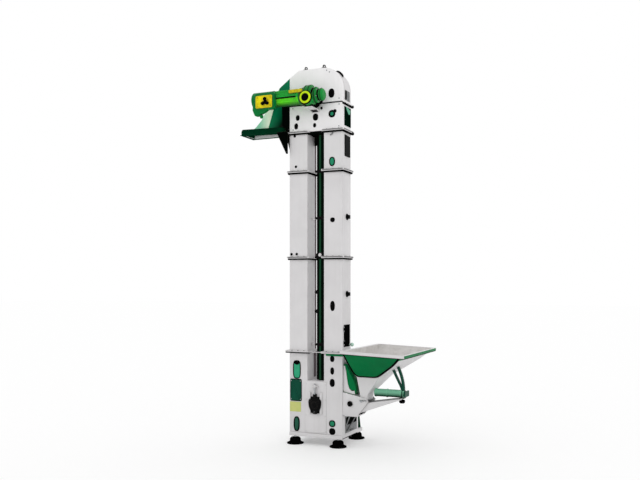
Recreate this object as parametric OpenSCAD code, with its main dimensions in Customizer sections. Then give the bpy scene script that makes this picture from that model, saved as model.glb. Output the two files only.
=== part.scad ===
// Twin-leg belt-and-bucket elevator with a feed hopper and a geared head drive.
// Millimetres. X runs along the front, Y goes from front to back, Z is up.
// The origin is on the floor, midway between the four feet.

/* [Tower] */
// Overall height from the floor to the top of the hood
total_h = 4000; // [3800:10:4400]
// Width of the casing across both legs
tower_w = 616; // [600:2:640]
// Width of one leg
leg_w = 211; // [205:1:216]
// Depth of the legs and of the head
leg_depth = 226; // [220:2:240]
// Sheet thickness of the casings
wall = 3; // [2.5:0.5:4]
// Height of the joint between the boot and the legs
boot_top_z = 993; // [960:1:1010]
// Length of the middle section of each leg
mid_len = 919; // [860:1:980]
// Length of the upper section of each leg
upper_len = 420; // [380:1:460]
// Height of the head casing below the hood
head_h = 286; // [275:1:296]
// Height of the hood
hood_h = 376; // [366:1:386]

/* [Flanges] */
// How far a flange stands out from its casing
flange_out = 24; // [20:1:28]
// Thickness of one flange
flange_t = 6; // [5:0.5:8]
// Extra width of the boot flange
boot_flange_extra = 12; // [6:1:16]
// Diameter of the flange bolts
bolt_d = 8; // [6:1:10]

/* [Boot and base] */
// Depth of the boot casing
boot_depth = 440; // [420:2:460]
// Top of the boot chamber between the two columns
chamber_top_z = 683; // [675:1:695]
// Height of the underside of the base frame
base_z = 85; // [80:1:95]
// Width of the base frame tubes
rail_w = 60; // [50:2:66]
// Height of the base frame tubes
rail_h = 40; // [34:1:46]
// Wall of the base frame tubes
rail_wall = 4; // [3:0.5:5]
// Distance between the feet along the front
foot_pitch_x = 500; // [480:2:510]
// Distance between the front and rear feet
foot_pitch_y = 520; // [510:2:540]
// Distance from the front feet to the front of the tower
front_overhang = 20; // [16:1:24]
// Diameter of a foot pad
pad_d = 180; // [170:2:190]
// Diameter of the cup on a foot pad
cup_d = 118; // [100:2:118]
// Diameter of the threaded foot stud
stud_d = 20; // [16:1:24]
// Distance of an anchor hole from the centre of its foot
anchor_offset = 73; // [70:1:76]
// Diameter of the anchor holes
anchor_d = 13; // [10:1:14]

/* [Belt and buckets] */
// Head shaft below the top of the hood
shaft_drop = 360; // [350:1:364]
// Height of the tail shaft
tail_shaft_z = 430; // [425:1:440]
// Diameter of the head shaft
head_shaft_d = 50; // [40:1:55]
// Diameter of the tail shaft
tail_shaft_d = 40; // [32:1:45]
// Diameter of both pulleys
pulley_d = 280; // [270:2:290]
// Width of both pulleys
pulley_w = 150; // [140:2:160]
// Thickness of the belt
belt_t = 5; // [4:0.5:7]
// Width of the belt
belt_w = 136; // [120:2:140]
// Running clearance between the belt and the pulleys
belt_clear = 0.6; // [0.4:0.1:1]
// Projection of a bucket from the belt
bucket_out = 104; // [90:1:110]
// Height of a bucket
bucket_h = 112; // [95:1:120]
// Width of a bucket
bucket_w = 160; // [140:2:180]
// Wall of a bucket
bucket_wall = 3; // [2:0.5:4]
// Distance between buckets on the straight runs
bucket_pitch = 200; // [180:5:240]

/* [Take-up] */
// Travel of the tail shaft when the belt is slackened
takeup_travel = 40; // [30:1:44]
// Width of the sliding bearing plate
takeup_w = 124; // [116:2:130]
// Diameter of the take-up screw
takeup_screw_d = 16; // [12:1:18]

/* [Drive] */
// Distance of the drive axis in front of the tower
drive_off = 150; // [146:1:160]
// Height of the drive axis above the head shaft
drive_rise = 38; // [30:1:44]
// Radius of the gear case
gear_r = 110; // [104:1:112]
// Radius of the motor body between its fins
motor_r = 76; // [70:1:78]
// Length of the motor body
motor_len = 300; // [280:2:310]
// Number of fins round the motor
fin_count = 28; // [20:2:32]
// Height of the motor fins
fin_h = 9; // [6:1:10]
// Length of the fan cowl
cowl_len = 250; // [240:2:262]
// Radius of the fan cowl
cowl_r = 90; // [86:1:94]
// Width of the switch box
switch_w = 244; // [220:2:250]
// Height of the switch box
switch_h = 180; // [172:2:200]

/* [Discharge chute] */
// Reach of the chute from the tower
chute_reach = 562; // [540:2:580]
// Gap between the tower and the outlet
outlet_gap = 92; // [86:1:100]
// Lower edge of the outlet collar below the top of the hood
outlet_drop = 648; // [640:1:654]
// Height of the outlet collar
collar_h = 58; // [50:1:64]
// Width of the bolting flange at the outlet
outlet_flange = 34; // [30:1:38]

/* [Hopper and feeder] */
// Length of the hopper rim from front to back
hopper_len = 1080; // [1040:5:1120]
// Reach of the hopper rim from the tower
hopper_reach = 742; // [720:2:760]
// Height of the hopper rim
hopper_top_z = 1010; // [1005:1:1020]
// How much higher the rim stands at the boot than at its far end
rim_rise = 24; // [0:2:30]
// Height where the pan of the hopper meets its throat
throat_top_z = 745; // [735:1:755]
// Height of the lower end of the throat
throat_z = 512; // [508:1:518]
// Sheet thickness of the hopper
hopper_wall = 4; // [3:0.5:5]
// Slope of the feeder trough in degrees
trough_slope = 20; // [18:0.5:21]
// Length of the feeder trough along the floor
trough_len = 507; // [490:1:515]
// Width of the feeder trough
trough_w = 190; // [180:2:196]

/* [Hidden] */
$fn = 64;

// Derived places
hood_split_z = total_h - hood_h;
head_bottom_z = hood_split_z - head_h;
upper_joint_z = head_bottom_z - upper_len;
mid_joint_z = upper_joint_z - mid_len;
lower_len = mid_joint_z - boot_top_z;
head_shaft_z = total_h - shaft_drop;
outlet_z = total_h - outlet_drop;
outlet_len = chute_reach - outlet_gap;
front_y = -foot_pitch_y / 2 - front_overhang;
leg_back_y = front_y + leg_depth;
boot_back_y = front_y + boot_depth;
leg_mid_y = front_y + leg_depth / 2;
side_x = tower_w / 2;
gap_x = side_x - leg_w;
leg_mid_x = side_x - leg_w / 2;
boot_z = base_z + rail_h;
rail_y = foot_pitch_y / 2 + rail_w / 2;
pulley_r = pulley_d / 2;
belt_in = pulley_r + belt_clear;
belt_out = belt_in + belt_t;
fit = 0.3;
shake_gap = 0.9;
run_fit = 0.05;

// Profile in the front view, extruded from y0 towards the back
module front_plate(y0, depth) {
  translate([0, y0 + depth, 0]) rotate([90, 0, 0]) linear_extrude(depth) children();
}

// Profile in the side view, extruded from x0 to the right
module side_plate(x0, depth) {
  translate([x0, 0, 0]) rotate([90, 0, 90]) linear_extrude(depth) children();
}

// Round bar along Y between two planes
module bar_y(r, y0, y1) {
  translate([0, y1, 0]) rotate([90, 0, 0]) cylinder(r = r, h = y1 - y0);
}

// Round bar along X between two planes
module bar_x(r, x0, x1) {
  translate([x0, 0, 0]) rotate([0, 90, 0]) cylinder(r = r, h = x1 - x0);
}

// Block between two corners
module block(a, b) {
  translate(a) cube(b - a);
}

// Rectangle with round corners, for plates and plugs
module round_rect(w, h, r) {
  square([w - 2 * r, h], center = true);
  square([w, h - 2 * r], center = true);
  for (sx = [-1, 1], sz = [-1, 1])
    translate([sx * (w / 2 - r), sz * (h / 2 - r)]) circle(r);
}

// Hexagon head, shank and nut in one bolt through a joint, head upwards
module joint_bolt(grip) {
  head = bolt_d * 0.65;
  translate([0, 0, grip / 2]) cylinder(d = bolt_d * 1.9, h = head, $fn = 6);
  translate([0, 0, -grip / 2 - head - 4]) cylinder(d = bolt_d, h = grip + head + 4, $fn = 24);
  translate([0, 0, -grip / 2 - head]) cylinder(d = bolt_d * 1.9, h = head, $fn = 6);
}

// Places of the bolts round one leg joint
function joint_places(extra) = let (o = flange_out / 2 + extra / 2)
  [for (sx = [-1, 1], p = [
    [sx * (leg_mid_x - leg_w / 3), front_y - o], [sx * leg_mid_x, front_y - o],
    [sx * (leg_mid_x + leg_w / 3), front_y - o],
    [sx * (leg_mid_x - leg_w / 3), leg_back_y + o], [sx * (leg_mid_x + leg_w / 3), leg_back_y + o],
    [sx * (side_x + o), leg_mid_y + leg_depth / 4], [sx * (side_x + o), leg_mid_y - leg_depth / 4],
  ]) p];

// Holes for the joint bolts
module joint_holes(z, extra) {
  for (p = joint_places(extra))
    translate([p[0], p[1], z - 40]) cylinder(d = bolt_d + 1, h = 80, $fn = 24);
}

// Bolts of one joint, through two flanges
module joint_bolts(z, extra) {
  for (p = joint_places(extra)) translate([p[0], p[1], z]) joint_bolt(2 * flange_t);
}

// Flange plate round one leg on side s, from z upwards
module leg_flange(s, z, extra = 0) {
  out = flange_out + extra;
  x0 = s > 0 ? gap_x - flange_out : -side_x - out;
  x1 = s > 0 ? side_x + out : -gap_x + flange_out;
  block([x0, front_y - out, z], [x1, leg_back_y + out, z + flange_t]);
}

// Hollow leg tube with a flange at both ends
module leg_section(s, z0, z1, extra0 = 0) {
  x0 = s > 0 ? gap_x : -side_x;
  difference() {
    union() {
      block([x0, front_y, z0], [x0 + leg_w, leg_back_y, z1]);
      leg_flange(s, z0, extra0);
      leg_flange(s, z1 - flange_t);
    }
    block([x0 + wall, front_y + wall, z0 - 1], [x0 + leg_w - wall, leg_back_y - wall, z1 + 1]);
    joint_holes(z0, extra0);
    joint_holes(z1, 0);
  }
}

// Base frame of four tubes
module base_frame() color("white") {
  difference() {
    block([-side_x, -rail_y, base_z], [side_x, rail_y, boot_z]);
    block([-side_x + rail_w, -rail_y + rail_w, base_z - 1], [side_x - rail_w, rail_y - rail_w, boot_z + 1]);
    for (s = [-1, 1]) {
      block([-side_x + rail_wall, s * foot_pitch_y / 2 - rail_w / 2 + rail_wall, base_z + rail_wall],
            [side_x - rail_wall, s * foot_pitch_y / 2 + rail_w / 2 - rail_wall, boot_z - rail_wall]);
      block([s * (side_x - rail_w / 2) - rail_w / 2 + rail_wall, -rail_y + rail_w - rail_wall - 1, base_z + rail_wall],
            [s * (side_x - rail_w / 2) + rail_w / 2 - rail_wall, rail_y - rail_w + rail_wall + 1, boot_z - rail_wall]);
    }
    for (sx = [-1, 1], sy = [-1, 1])
      translate([sx * foot_pitch_x / 2, sy * foot_pitch_y / 2, base_z - 1])
        cylinder(d = stud_d + 1, h = rail_wall + 2);
  }
}

// Foot pad with its cup and two anchor holes
pad_t = 12;
cup_top = 68;
module foot_pad() color("black") {
  difference() {
    union() {
      cylinder(d = pad_d, h = pad_t);
      rotate_extrude() polygon([[0, 0], [cup_d / 2, 0], [cup_d / 2, pad_t + 6], [cup_d / 2 - 6, 50],
        [cup_d / 2 - 20, cup_top], [0, cup_top]]);
    }
    for (s = [-1, 1]) translate([s * anchor_offset, 0, -1]) cylinder(d = anchor_d, h = 40);
    translate([0, 0, 20]) cylinder(d = stud_d + 8, h = cup_top);
  }
}
module foot_at(sx, sy) translate([sx * foot_pitch_x / 2, sy * foot_pitch_y / 2, 0]) foot_pad();
module foot_front_left() foot_at(-1, -1);
module foot_front_right() foot_at(1, -1);
module foot_rear_left() foot_at(-1, 1);
module foot_rear_right() foot_at(1, 1);

// Threaded studs with a lock nut under the frame
module foot_studs() color("dimgray") {
  for (sx = [-1, 1], sy = [-1, 1]) translate([sx * foot_pitch_x / 2, sy * foot_pitch_y / 2, 0]) {
    translate([0, 0, 20]) cylinder(d = stud_d + 6, h = 12);
    translate([0, 0, 20]) cylinder(d = stud_d, h = boot_z - 20 - rail_wall - 2);
    translate([0, 0, base_z - 14]) cylinder(d = stud_d * 1.7, h = 14, $fn = 6);
  }
}

// Outline of the boot in the front view, shrunk by t
module boot_outline(t) {
  translate([-side_x + t, boot_z + t]) square([tower_w - 2 * t, chamber_top_z - boot_z - 2 * t]);
  for (s = [-1, 1]) translate([s * leg_mid_x - leg_w / 2 + t, boot_z + t])
    square([leg_w - 2 * t, boot_top_z - boot_z - 2 * t]);
}

// Size of the window cut behind the front and back covers
cover_w = 246;
cover_z0 = 128;
cover_z1 = 676;
cover_t = 4;
cover_lap = 22;
slot_r = tail_shaft_d / 2 + 12;
door_y0 = front_y + 90;
door_y1 = boot_back_y - 60;
door_z0 = boot_z + 22;
door_z1 = 300;
inlet_z0 = 352;
inlet_z1 = 560;

module boot_casing() color("whitesmoke") {
  difference() {
    union() {
      front_plate(front_y, boot_depth) boot_outline(0);
      for (s = [-1, 1]) leg_flange(s, boot_top_z - flange_t, boot_flange_extra);
      block([-gap_x, front_y - flange_out, boot_top_z - flange_t], [gap_x, front_y - 2, boot_top_z]);
    }
    front_plate(front_y + wall, boot_depth - 2 * wall) boot_outline(wall);
    for (s = [-1, 1])
      block([s * leg_mid_x - leg_w / 2 + wall, front_y + wall, chamber_top_z],
            [s * leg_mid_x + leg_w / 2 - wall, leg_back_y - wall, boot_top_z + 1]);
    for (y = [front_y - 1, boot_back_y - wall - 1])
      block([-cover_w / 2 + cover_lap, y, cover_z0 + cover_lap],
            [cover_w / 2 - cover_lap, y + wall + 2, cover_z1 - cover_lap]);
    block([side_x - wall - 1, front_y + 14, inlet_z0], [side_x + 1, leg_back_y - 14, inlet_z1]);
    block([side_x - wall - 1, door_y0, door_z0], [side_x + 1, door_y1, door_z1]);
    joint_holes(boot_top_z, boot_flange_extra);
  }
}

// Bolted cover with the slot for the tail shaft
module bearing_cover(y0) {
  difference() {
    block([-cover_w / 2, y0, cover_z0], [cover_w / 2, y0 + cover_t, cover_z1]);
    block([-slot_r, y0 - 1, tail_shaft_z - slot_r], [slot_r, y0 + cover_t + 1, tail_shaft_z + takeup_travel + slot_r]);
  }
}
module cover_screws(y0) {
  for (sx = [-1, 1], k = [0:3])
    translate([sx * (cover_w / 2 - 11), 0, cover_z0 + 24 + k * (cover_z1 - cover_z0 - 48) / 3])
      bar_y(6, y0, y0 + 5);
}
module boot_front_cover() color("white") {
  bearing_cover(front_y - cover_t);
  cover_screws(front_y - cover_t - 5);
}
module boot_back_cover() color("white") {
  bearing_cover(boot_back_y);
  cover_screws(boot_back_y + cover_t);
}

// Sight windows and plates on the left column of the boot, plugs on the right one
column_h = boot_top_z - boot_z;
lens_t = 6;
plate_w = 138;
plate_h = 222;
plug_t = 8;
boot_plugs = [[0.043, 72, 70], [0.137, 72, 72], [0.631, 58, 84], [0.775, 44, 76], [0.922, 50, 66]];
module boot_windows() color("darkgreen") {
  front_plate(front_y - lens_t, lens_t) translate([-leg_mid_x - leg_w * 0.088, boot_z + column_h * 0.773])
    round_rect(leg_w * 0.436, column_h * 0.226, leg_w * 0.19);
  front_plate(front_y - plug_t, plug_t) translate([-leg_mid_x - leg_w * 0.14, boot_z + column_h * 0.52])
    round_rect(plate_w, plate_h, 10);
  front_plate(front_y - lens_t, lens_t) translate([-leg_mid_x - leg_w * 0.1, boot_z + column_h * 0.1025])
    round_rect(leg_w * 0.341, column_h * 0.182, leg_w * 0.161);
  for (p = boot_plugs) front_plate(front_y - plug_t, plug_t)
    translate([leg_mid_x - leg_w * 0.05, boot_z + column_h * p[0]]) round_rect(p[1], p[2], p[1] * 0.45);
}

// Two braces from the rear rail to the back of the boot
brace_w = 40;
module rear_braces() color("white") {
  for (s = [-1, 1]) side_plate(s * (side_x - 40) - brace_w / 2, brace_w)
    polygon([[boot_back_y, 640], [boot_back_y, 560], [rail_y - 46, boot_z], [rail_y, boot_z]]);
}

// Sliding bearings of the tail shaft
guide_z0 = tail_shaft_z - 96;
guide_z1 = tail_shaft_z + takeup_travel + 96;
guide_w = 16;
plate_t = 8;
module guide_pair(y_out, s) {
  for (sx = [-1, 1]) {
    x0 = sx > 0 ? takeup_w / 2 + 0.5 : -takeup_w / 2 - 0.5 - guide_w;
    lip_x0 = sx > 0 ? takeup_w / 2 - 8 : -takeup_w / 2 - 0.5 - guide_w;
    y_a = s < 0 ? y_out - plate_t - 1 : y_out;
    block([x0, y_a, guide_z0], [x0 + guide_w, y_a + plate_t + 1, guide_z1]);
    y_b = s < 0 ? y_out - plate_t - 6 : y_out + plate_t + 1;
    block([lip_x0, y_b, guide_z0], [lip_x0 + guide_w + 8.5, y_b + 5, guide_z1]);
  }
}
bracket_z = tail_shaft_z + 204;
screw_off = 24;
module screw_bracket(y_out, s) {
  ya = s < 0 ? y_out - 50 : y_out;
  yb = s < 0 ? y_out - 5 : y_out;
  difference() {
    union() {
      block([-34, ya, bracket_z - 8], [34, ya + 50, bracket_z]);
      block([-34, yb, bracket_z - 30], [34, yb + 5, bracket_z - 8]);
    }
    translate([0, y_out + s * screw_off, bracket_z - 20])
      cylinder(d = takeup_screw_d + 1, h = 40);
  }
}
module takeup_guides() color("black") {
  guide_pair(front_y - cover_t, -1);
  guide_pair(boot_back_y + cover_t, 1);
  screw_bracket(front_y - cover_t, -1);
  screw_bracket(boot_back_y + cover_t, 1);
  for (s = [-1, 1]) {
    y = s < 0 ? front_y - cover_t - screw_off : boot_back_y + cover_t + screw_off;
    for (z = [bracket_z, bracket_z - 8 - 12]) translate([0, y, z]) difference() {
      cylinder(d = takeup_screw_d * 1.8, h = 12, $fn = 6);
      translate([0, 0, -1]) cylinder(d = takeup_screw_d + 0.2, h = 14);
    }
  }
}

// Bearing block that slides between the guides, with a shield-shaped face in front of them
shield = [[-22, -96], [22, -96], [48, -66], [70, -20], [76, 30], [70, 58], [44, 74], [24, 84], [-24, 84],
  [-44, 74], [-70, 58], [-76, 30], [-70, -20], [-48, -66]];
housing_t = 38;
module takeup_bearing(y_out, s) {
  ya = s < 0 ? y_out - fit - plate_t : y_out + fit;
  yb = s < 0 ? y_out - fit - housing_t : y_out + fit;
  difference() {
    union() {
      block([-takeup_w / 2, ya, tail_shaft_z - 88], [takeup_w / 2, ya + plate_t, tail_shaft_z + 88]);
      front_plate(s < 0 ? y_out - 30 : y_out + 20, 10) translate([0, tail_shaft_z]) polygon(shield);
      front_plate(yb, housing_t) translate([0, tail_shaft_z]) {
        circle(46);
        translate([-20, 0]) square([40, 104]);
        translate([0, 104]) circle(20);
        translate([-18, -66]) square([36, 40]);
        translate([0, -66]) circle(18);
      }
      front_plate(yb + housing_t / 2 - 12, 24) translate([0, tail_shaft_z])
        for (sx = [-1, 1]) translate([sx * 36, 34]) circle(14);
    }
    translate([0, 0, tail_shaft_z])
      bar_y(tail_shaft_d / 2 + run_fit, min(ya, yb) - 1, max(ya, yb) + housing_t + 1);
    translate([0, y_out + s * screw_off, tail_shaft_z + 96]) cylinder(d = takeup_screw_d + 0.02, h = 60);
  }
}
module takeup_bearings() color("black") {
  takeup_bearing(front_y - cover_t, -1);
  takeup_bearing(boot_back_y + cover_t, 1);
}
module takeup_screws() color("silver") {
  for (y = [front_y - cover_t - screw_off, boot_back_y + cover_t + screw_off])
    translate([0, y, tail_shaft_z + 96]) cylinder(d = takeup_screw_d, h = bracket_z - tail_shaft_z - 96 + 24);
}

// Tail shaft and pulley
tail_end = 30;
module tail_shaft() color("silver") {
  translate([0, 0, tail_shaft_z])
    bar_y(tail_shaft_d / 2, front_y - cover_t - tail_end, boot_back_y + cover_t + tail_end);
}
module pulley(z, bore) translate([0, leg_mid_y, z]) {
  rim = 8;
  hub = 42;
  difference() {
    union() {
      difference() {
        bar_y(pulley_r, -pulley_w / 2, pulley_w / 2);
        bar_y(pulley_r - rim, -pulley_w / 2 - 1, pulley_w / 2 + 1);
      }
      for (s = [-1, 1]) bar_y(pulley_r - rim / 2, s * pulley_w / 3 - 4, s * pulley_w / 3 + 4);
      bar_y(hub, -pulley_w / 2 + 6, pulley_w / 2 - 6);
    }
    bar_y(bore / 2, -pulley_w, pulley_w);
  }
}
module tail_pulley() color("gray") pulley(tail_shaft_z, tail_shaft_d);
module head_pulley() color("gray") pulley(head_shaft_z, head_shaft_d);

// Clean-out door on the right of the boot, hinged along its top edge
hinge_r = 7;
module cleanout_door() color("gray") {
  x = side_x + fit;
  difference() {
    union() {
      block([x, door_y0 - 14, door_z0 - 10], [x + 4, door_y1 + 14, door_z1 + 8]);
      side_plate(x + 4, 10) polygon([[door_y0 + 10, door_z0 + 10], [door_y0 + 34, door_z0 + 10],
        [door_y1 - 10, door_z1 - 14], [door_y1 - 34, door_z1 - 14]]);
      translate([x + hinge_r, 0, door_z1 + 8 + hinge_r - 2]) bar_y(hinge_r, door_y0, door_y1);
      block([x + 4, (door_y0 + door_y1) / 2 - 40, door_z0 + 2], [x + 22, (door_y0 + door_y1) / 2 + 40, door_z0 + 12]);
    }
    translate([x + hinge_r, 0, door_z1 + 8 + hinge_r - 2]) bar_y(3.1, door_y0 - 1, door_y1 + 1);
  }
}

// Legs
module left_leg_lower() color("white") leg_section(-1, boot_top_z, mid_joint_z, boot_flange_extra);
module left_leg_middle() color("white") leg_section(-1, mid_joint_z, upper_joint_z);
module left_leg_upper() color("white") leg_section(-1, upper_joint_z, head_bottom_z);
module right_leg_lower() color("white") difference() {
  leg_section(1, boot_top_z, mid_joint_z, boot_flange_extra);
  block([side_x - wall - 1, insp_y0 + 16, insp_z0 + 16], [side_x + 1, insp_y1 - 16, insp_z1 - 16]);
}
module right_leg_middle() color("white") leg_section(1, mid_joint_z, upper_joint_z);
module right_leg_upper() color("white") leg_section(1, upper_joint_z, head_bottom_z);

// Mast in the gap between the legs, with collars at the joints
mast_r = 36;
mast_x = 17;
mast_y = leg_mid_y + 2;
module centre_mast() color("darkgreen") translate([mast_x, mast_y, chamber_top_z])
  cylinder(r = mast_r, h = head_bottom_z - chamber_top_z);
collar_h_half = 10;
collar_zs = [boot_top_z + lower_len * 0.0725, mid_joint_z, mid_joint_z + mid_len * 0.456, upper_joint_z];
module mast_collars() color("black") for (z = collar_zs) difference() {
  union() {
    translate([mast_x, mast_y, z - collar_h_half - 4]) cylinder(r = mast_r + 9, h = 2 * collar_h_half + 8);
    for (s = [-1, 1])
      block([s > 0 ? mast_x + mast_r : -gap_x, mast_y - 12, z - collar_h_half],
            [s > 0 ? gap_x : mast_x - mast_r, mast_y + 12, z + collar_h_half]);
  }
  translate([mast_x, mast_y, z - 2 * collar_h_half]) cylinder(r = mast_r + 0.02, h = 4 * collar_h_half);
  if (z == mid_joint_z || z == upper_joint_z) for (s = [-1, 1])
    block([s > 0 ? gap_x - flange_out : -gap_x, front_y, z - flange_t],
          [s > 0 ? gap_x : -gap_x + flange_out, leg_back_y, z + flange_t]);
}

module boot_flange_bolts() color("gray") joint_bolts(boot_top_z, boot_flange_extra);
module leg_flange_bolts() color("gray") {
  for (z = [mid_joint_z, upper_joint_z, head_bottom_z]) joint_bolts(z, 0);
  for (p = hood_places) translate([p[0], p[1], hood_split_z]) joint_bolt(2 * flange_t);
}

// Fittings on the right leg: sight glass, plugs and the upper side window
plug_w = 36;
plug_h = 56;
glass_w = 66;
glass_h = 96;
side_plug_w = 52;
side_plug_h = 74;
module leg_fittings() color("black") {
  front_plate(front_y - plug_t, plug_t) translate([leg_mid_x - leg_w * 0.06, upper_joint_z + upper_len * 0.2])
    round_rect(glass_w, glass_h, glass_w * 0.45);
  for (z = [mid_joint_z + mid_len * 0.4233, boot_top_z + lower_len * 0.486])
    front_plate(front_y - plug_t, plug_t) translate([leg_mid_x - leg_w * 0.036, z]) round_rect(plug_w, plug_h, plug_w * 0.44);
  side_plate(side_x, lens_t) polygon([
    [front_y + leg_depth * 0.25, upper_joint_z + upper_len * 0.42], [leg_back_y - leg_depth * 0.1, upper_joint_z + upper_len * 0.34],
    [leg_back_y - leg_depth * 0.1, upper_joint_z + upper_len * 0.85], [front_y + leg_depth * 0.25, upper_joint_z + upper_len * 0.885]]);
  for (z = [mid_joint_z + mid_len * 0.4625, boot_top_z + lower_len * 0.61])
    side_plate(side_x, plug_t) translate([leg_mid_y + leg_depth * 0.06, z])
      round_rect(side_plug_w, side_plug_h, side_plug_w * 0.4);
}

// Hinged inspection door on the right leg
insp_y0 = front_y + 36;
insp_y1 = leg_back_y - 34;
insp_z0 = boot_top_z + 58;
insp_z1 = insp_z0 + 232;
module inspection_door() color("black") difference() {
  union() {
    block([side_x + fit, insp_y0, insp_z0], [side_x + fit + 5, insp_y1, insp_z1]);
    for (z = [insp_z0 + 30, insp_z1 - 60]) translate([side_x + fit + 6, insp_y0 - 5, z]) cylinder(r = 6, h = 30);
  }
  translate([side_x + fit + 6, insp_y0 - 5, insp_z0 - 10]) cylinder(r = 2.6, h = 300);
}
module inspection_knob() color("lightgreen") translate([side_x + fit + 5, insp_y1 - 14, insp_z0 + 18]) {
  rotate([0, 90, 0]) cylinder(r = 5, h = 16);
  translate([26, 0, 0]) sphere(15);
}

// Head casing, open at the top, with ports down to the legs
module head_casing() color("whitesmoke") difference() {
  union() {
    block([-side_x, front_y, head_bottom_z], [side_x, leg_back_y, hood_split_z]);
    for (s = [-1, 1]) leg_flange(s, head_bottom_z);
    hood_flange(hood_split_z - flange_t);
  }
  block([-side_x + wall, front_y + wall, head_bottom_z + wall], [side_x - wall, leg_back_y - wall, hood_split_z + 1]);
  for (s = [-1, 1]) block([s * leg_mid_x - leg_w / 2 + wall, front_y + wall, head_bottom_z - 1],
    [s * leg_mid_x + leg_w / 2 - wall, leg_back_y - wall, head_bottom_z + wall + 1]);
  block([-side_x - 1, front_y + 14, neck_z0 + 10], [-side_x + wall + 1, leg_back_y - 14, hood_split_z + 1]);
  translate([0, 0, head_shaft_z]) bar_y(head_shaft_d / 2 + 8, front_y - 60, leg_back_y + 60);
  joint_holes(head_bottom_z, 0);
  hood_holes();
}
neck_z0 = hood_split_z - 164;

// Flange between head casing and hood, on the right side
hood_places = [for (y = [leg_mid_y - 75, leg_mid_y, leg_mid_y + 75]) [side_x + flange_out / 2, y]];
module hood_flange(z) {
  block([side_x - 1, front_y - 4, z], [side_x + flange_out, leg_back_y + 4, z + flange_t]);
}
module hood_holes() for (p = hood_places) translate([p[0], p[1], hood_split_z - 40]) cylinder(d = bolt_d + 1, h = 80, $fn = 24);

// Outline of the hood in the front view, shrunk by t
hood_corner_r = 230;
hood_cut_x = 111;
hood_cut_z = 73;
module hood_outline(t) {
  intersection() {
    union() {
      translate([-side_x + t, hood_split_z]) square([tower_w - hood_corner_r - t, total_h - hood_split_z - t]);
      translate([0, hood_split_z]) square([side_x - t, total_h - hood_corner_r - hood_split_z]);
      translate([side_x - hood_corner_r, total_h - hood_corner_r]) circle(hood_corner_r - t, $fn = 128);
    }
    polygon([[-side_x + t, hood_split_z], [side_x - t, hood_split_z], [side_x - t, total_h - t],
      [-side_x + hood_cut_x, total_h - t], [-side_x + t, total_h - hood_cut_z - t * 0.4]]);
  }
}
module hood() color("white") difference() {
  union() {
    front_plate(front_y, leg_depth) hood_outline(0);
    hood_flange(hood_split_z);
  }
  front_plate(front_y + wall, leg_depth - 2 * wall) hood_outline(wall);
  block([-side_x + wall, front_y + wall, hood_split_z - 1], [side_x - wall, leg_back_y - wall, hood_split_z + 10]);
  block([-side_x - 1, front_y + 14, hood_split_z - 1], [-side_x + wall + 1, leg_back_y - 14, total_h - 100]);
  translate([0, 0, head_shaft_z]) bar_y(head_shaft_d / 2 + 8, front_y - 60, leg_back_y + 60);
  hood_holes();
}
module head_side_panel() color("darkgreen") {
  block([side_x, front_y + 50, head_bottom_z + 46], [side_x + 6, leg_back_y - 6, hood_split_z - 40]);
}
// Plugs of the head: place as shares of half the width and of the casing's height, then width and height
head_plugs = [[-0.688, 0.545, 44, 60], [-0.747, 0.235, 44, 66], [-0.006, 0.515, 62, 76], [-0.04, 0.214, 36, 46],
  [0.614, 0.58, 76, 78], [0.594, 1.34, 68, 96]];
module hood_fittings() color("black") {
  for (p = head_plugs) front_plate(front_y - plug_t, plug_t)
    translate([side_x * p[0], head_bottom_z + head_h * p[1]]) round_rect(p[2], p[3], p[2] * 0.44);
}
eye_r = 8;
eye_z = total_h + 18;
eye_xs = [-120, 92];
eye_y = front_y + 18;
module lifting_eyes() color("black") for (x = eye_xs) difference() {
  union() {
    block([x - 24, eye_y - 16, total_h], [x + 24, eye_y + 16, total_h + 5]);
    front_plate(eye_y - 5, 10) translate([x, eye_z]) circle(eye_r + 8);
    front_plate(eye_y - 5, 10) translate([x - eye_r - 8, total_h + 4]) square([2 * eye_r + 16, eye_z - total_h - 4]);
  }
  translate([x, 0, eye_z]) bar_y(eye_r, eye_y - 10, eye_y + 10);
}

// Bearings of the head shaft on the front and back of the head
module head_bearings() color("dimgray") for (s = [-1, 1]) {
  y0 = s < 0 ? front_y - 28 : leg_back_y;
  difference() {
    union() {
      front_plate(s < 0 ? y0 + 16 : y0, 12) translate([0, head_shaft_z]) {
        circle(58);
        for (sx = [-1, 1]) translate([sx * 62, 0]) circle(22);
      }
      translate([0, 0, head_shaft_z]) bar_y(42, y0, y0 + 28);
    }
    translate([0, 0, head_shaft_z]) bar_y(head_shaft_d / 2 + run_fit, y0 - 1, y0 + 29);
  }
}
module head_shaft() color("silver") translate([0, 0, head_shaft_z])
  bar_y(head_shaft_d / 2, front_y - drive_off - gear_r + 4, leg_back_y + 44);

// Belt with a straight run each side and half turns over both pulleys
module belt() color("dimgray") front_plate(leg_mid_y - belt_w / 2, belt_w) difference() {
  union() {
    translate([0, head_shaft_z]) circle(belt_out, $fn = 160);
    translate([0, tail_shaft_z]) circle(belt_out, $fn = 160);
    translate([-belt_out, tail_shaft_z]) square([2 * belt_out, head_shaft_z - tail_shaft_z]);
  }
  translate([0, head_shaft_z]) circle(belt_in, $fn = 160);
  translate([0, tail_shaft_z]) circle(belt_in, $fn = 160);
  translate([-belt_in, tail_shaft_z]) square([2 * belt_in, head_shaft_z - tail_shaft_z]);
}

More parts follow.
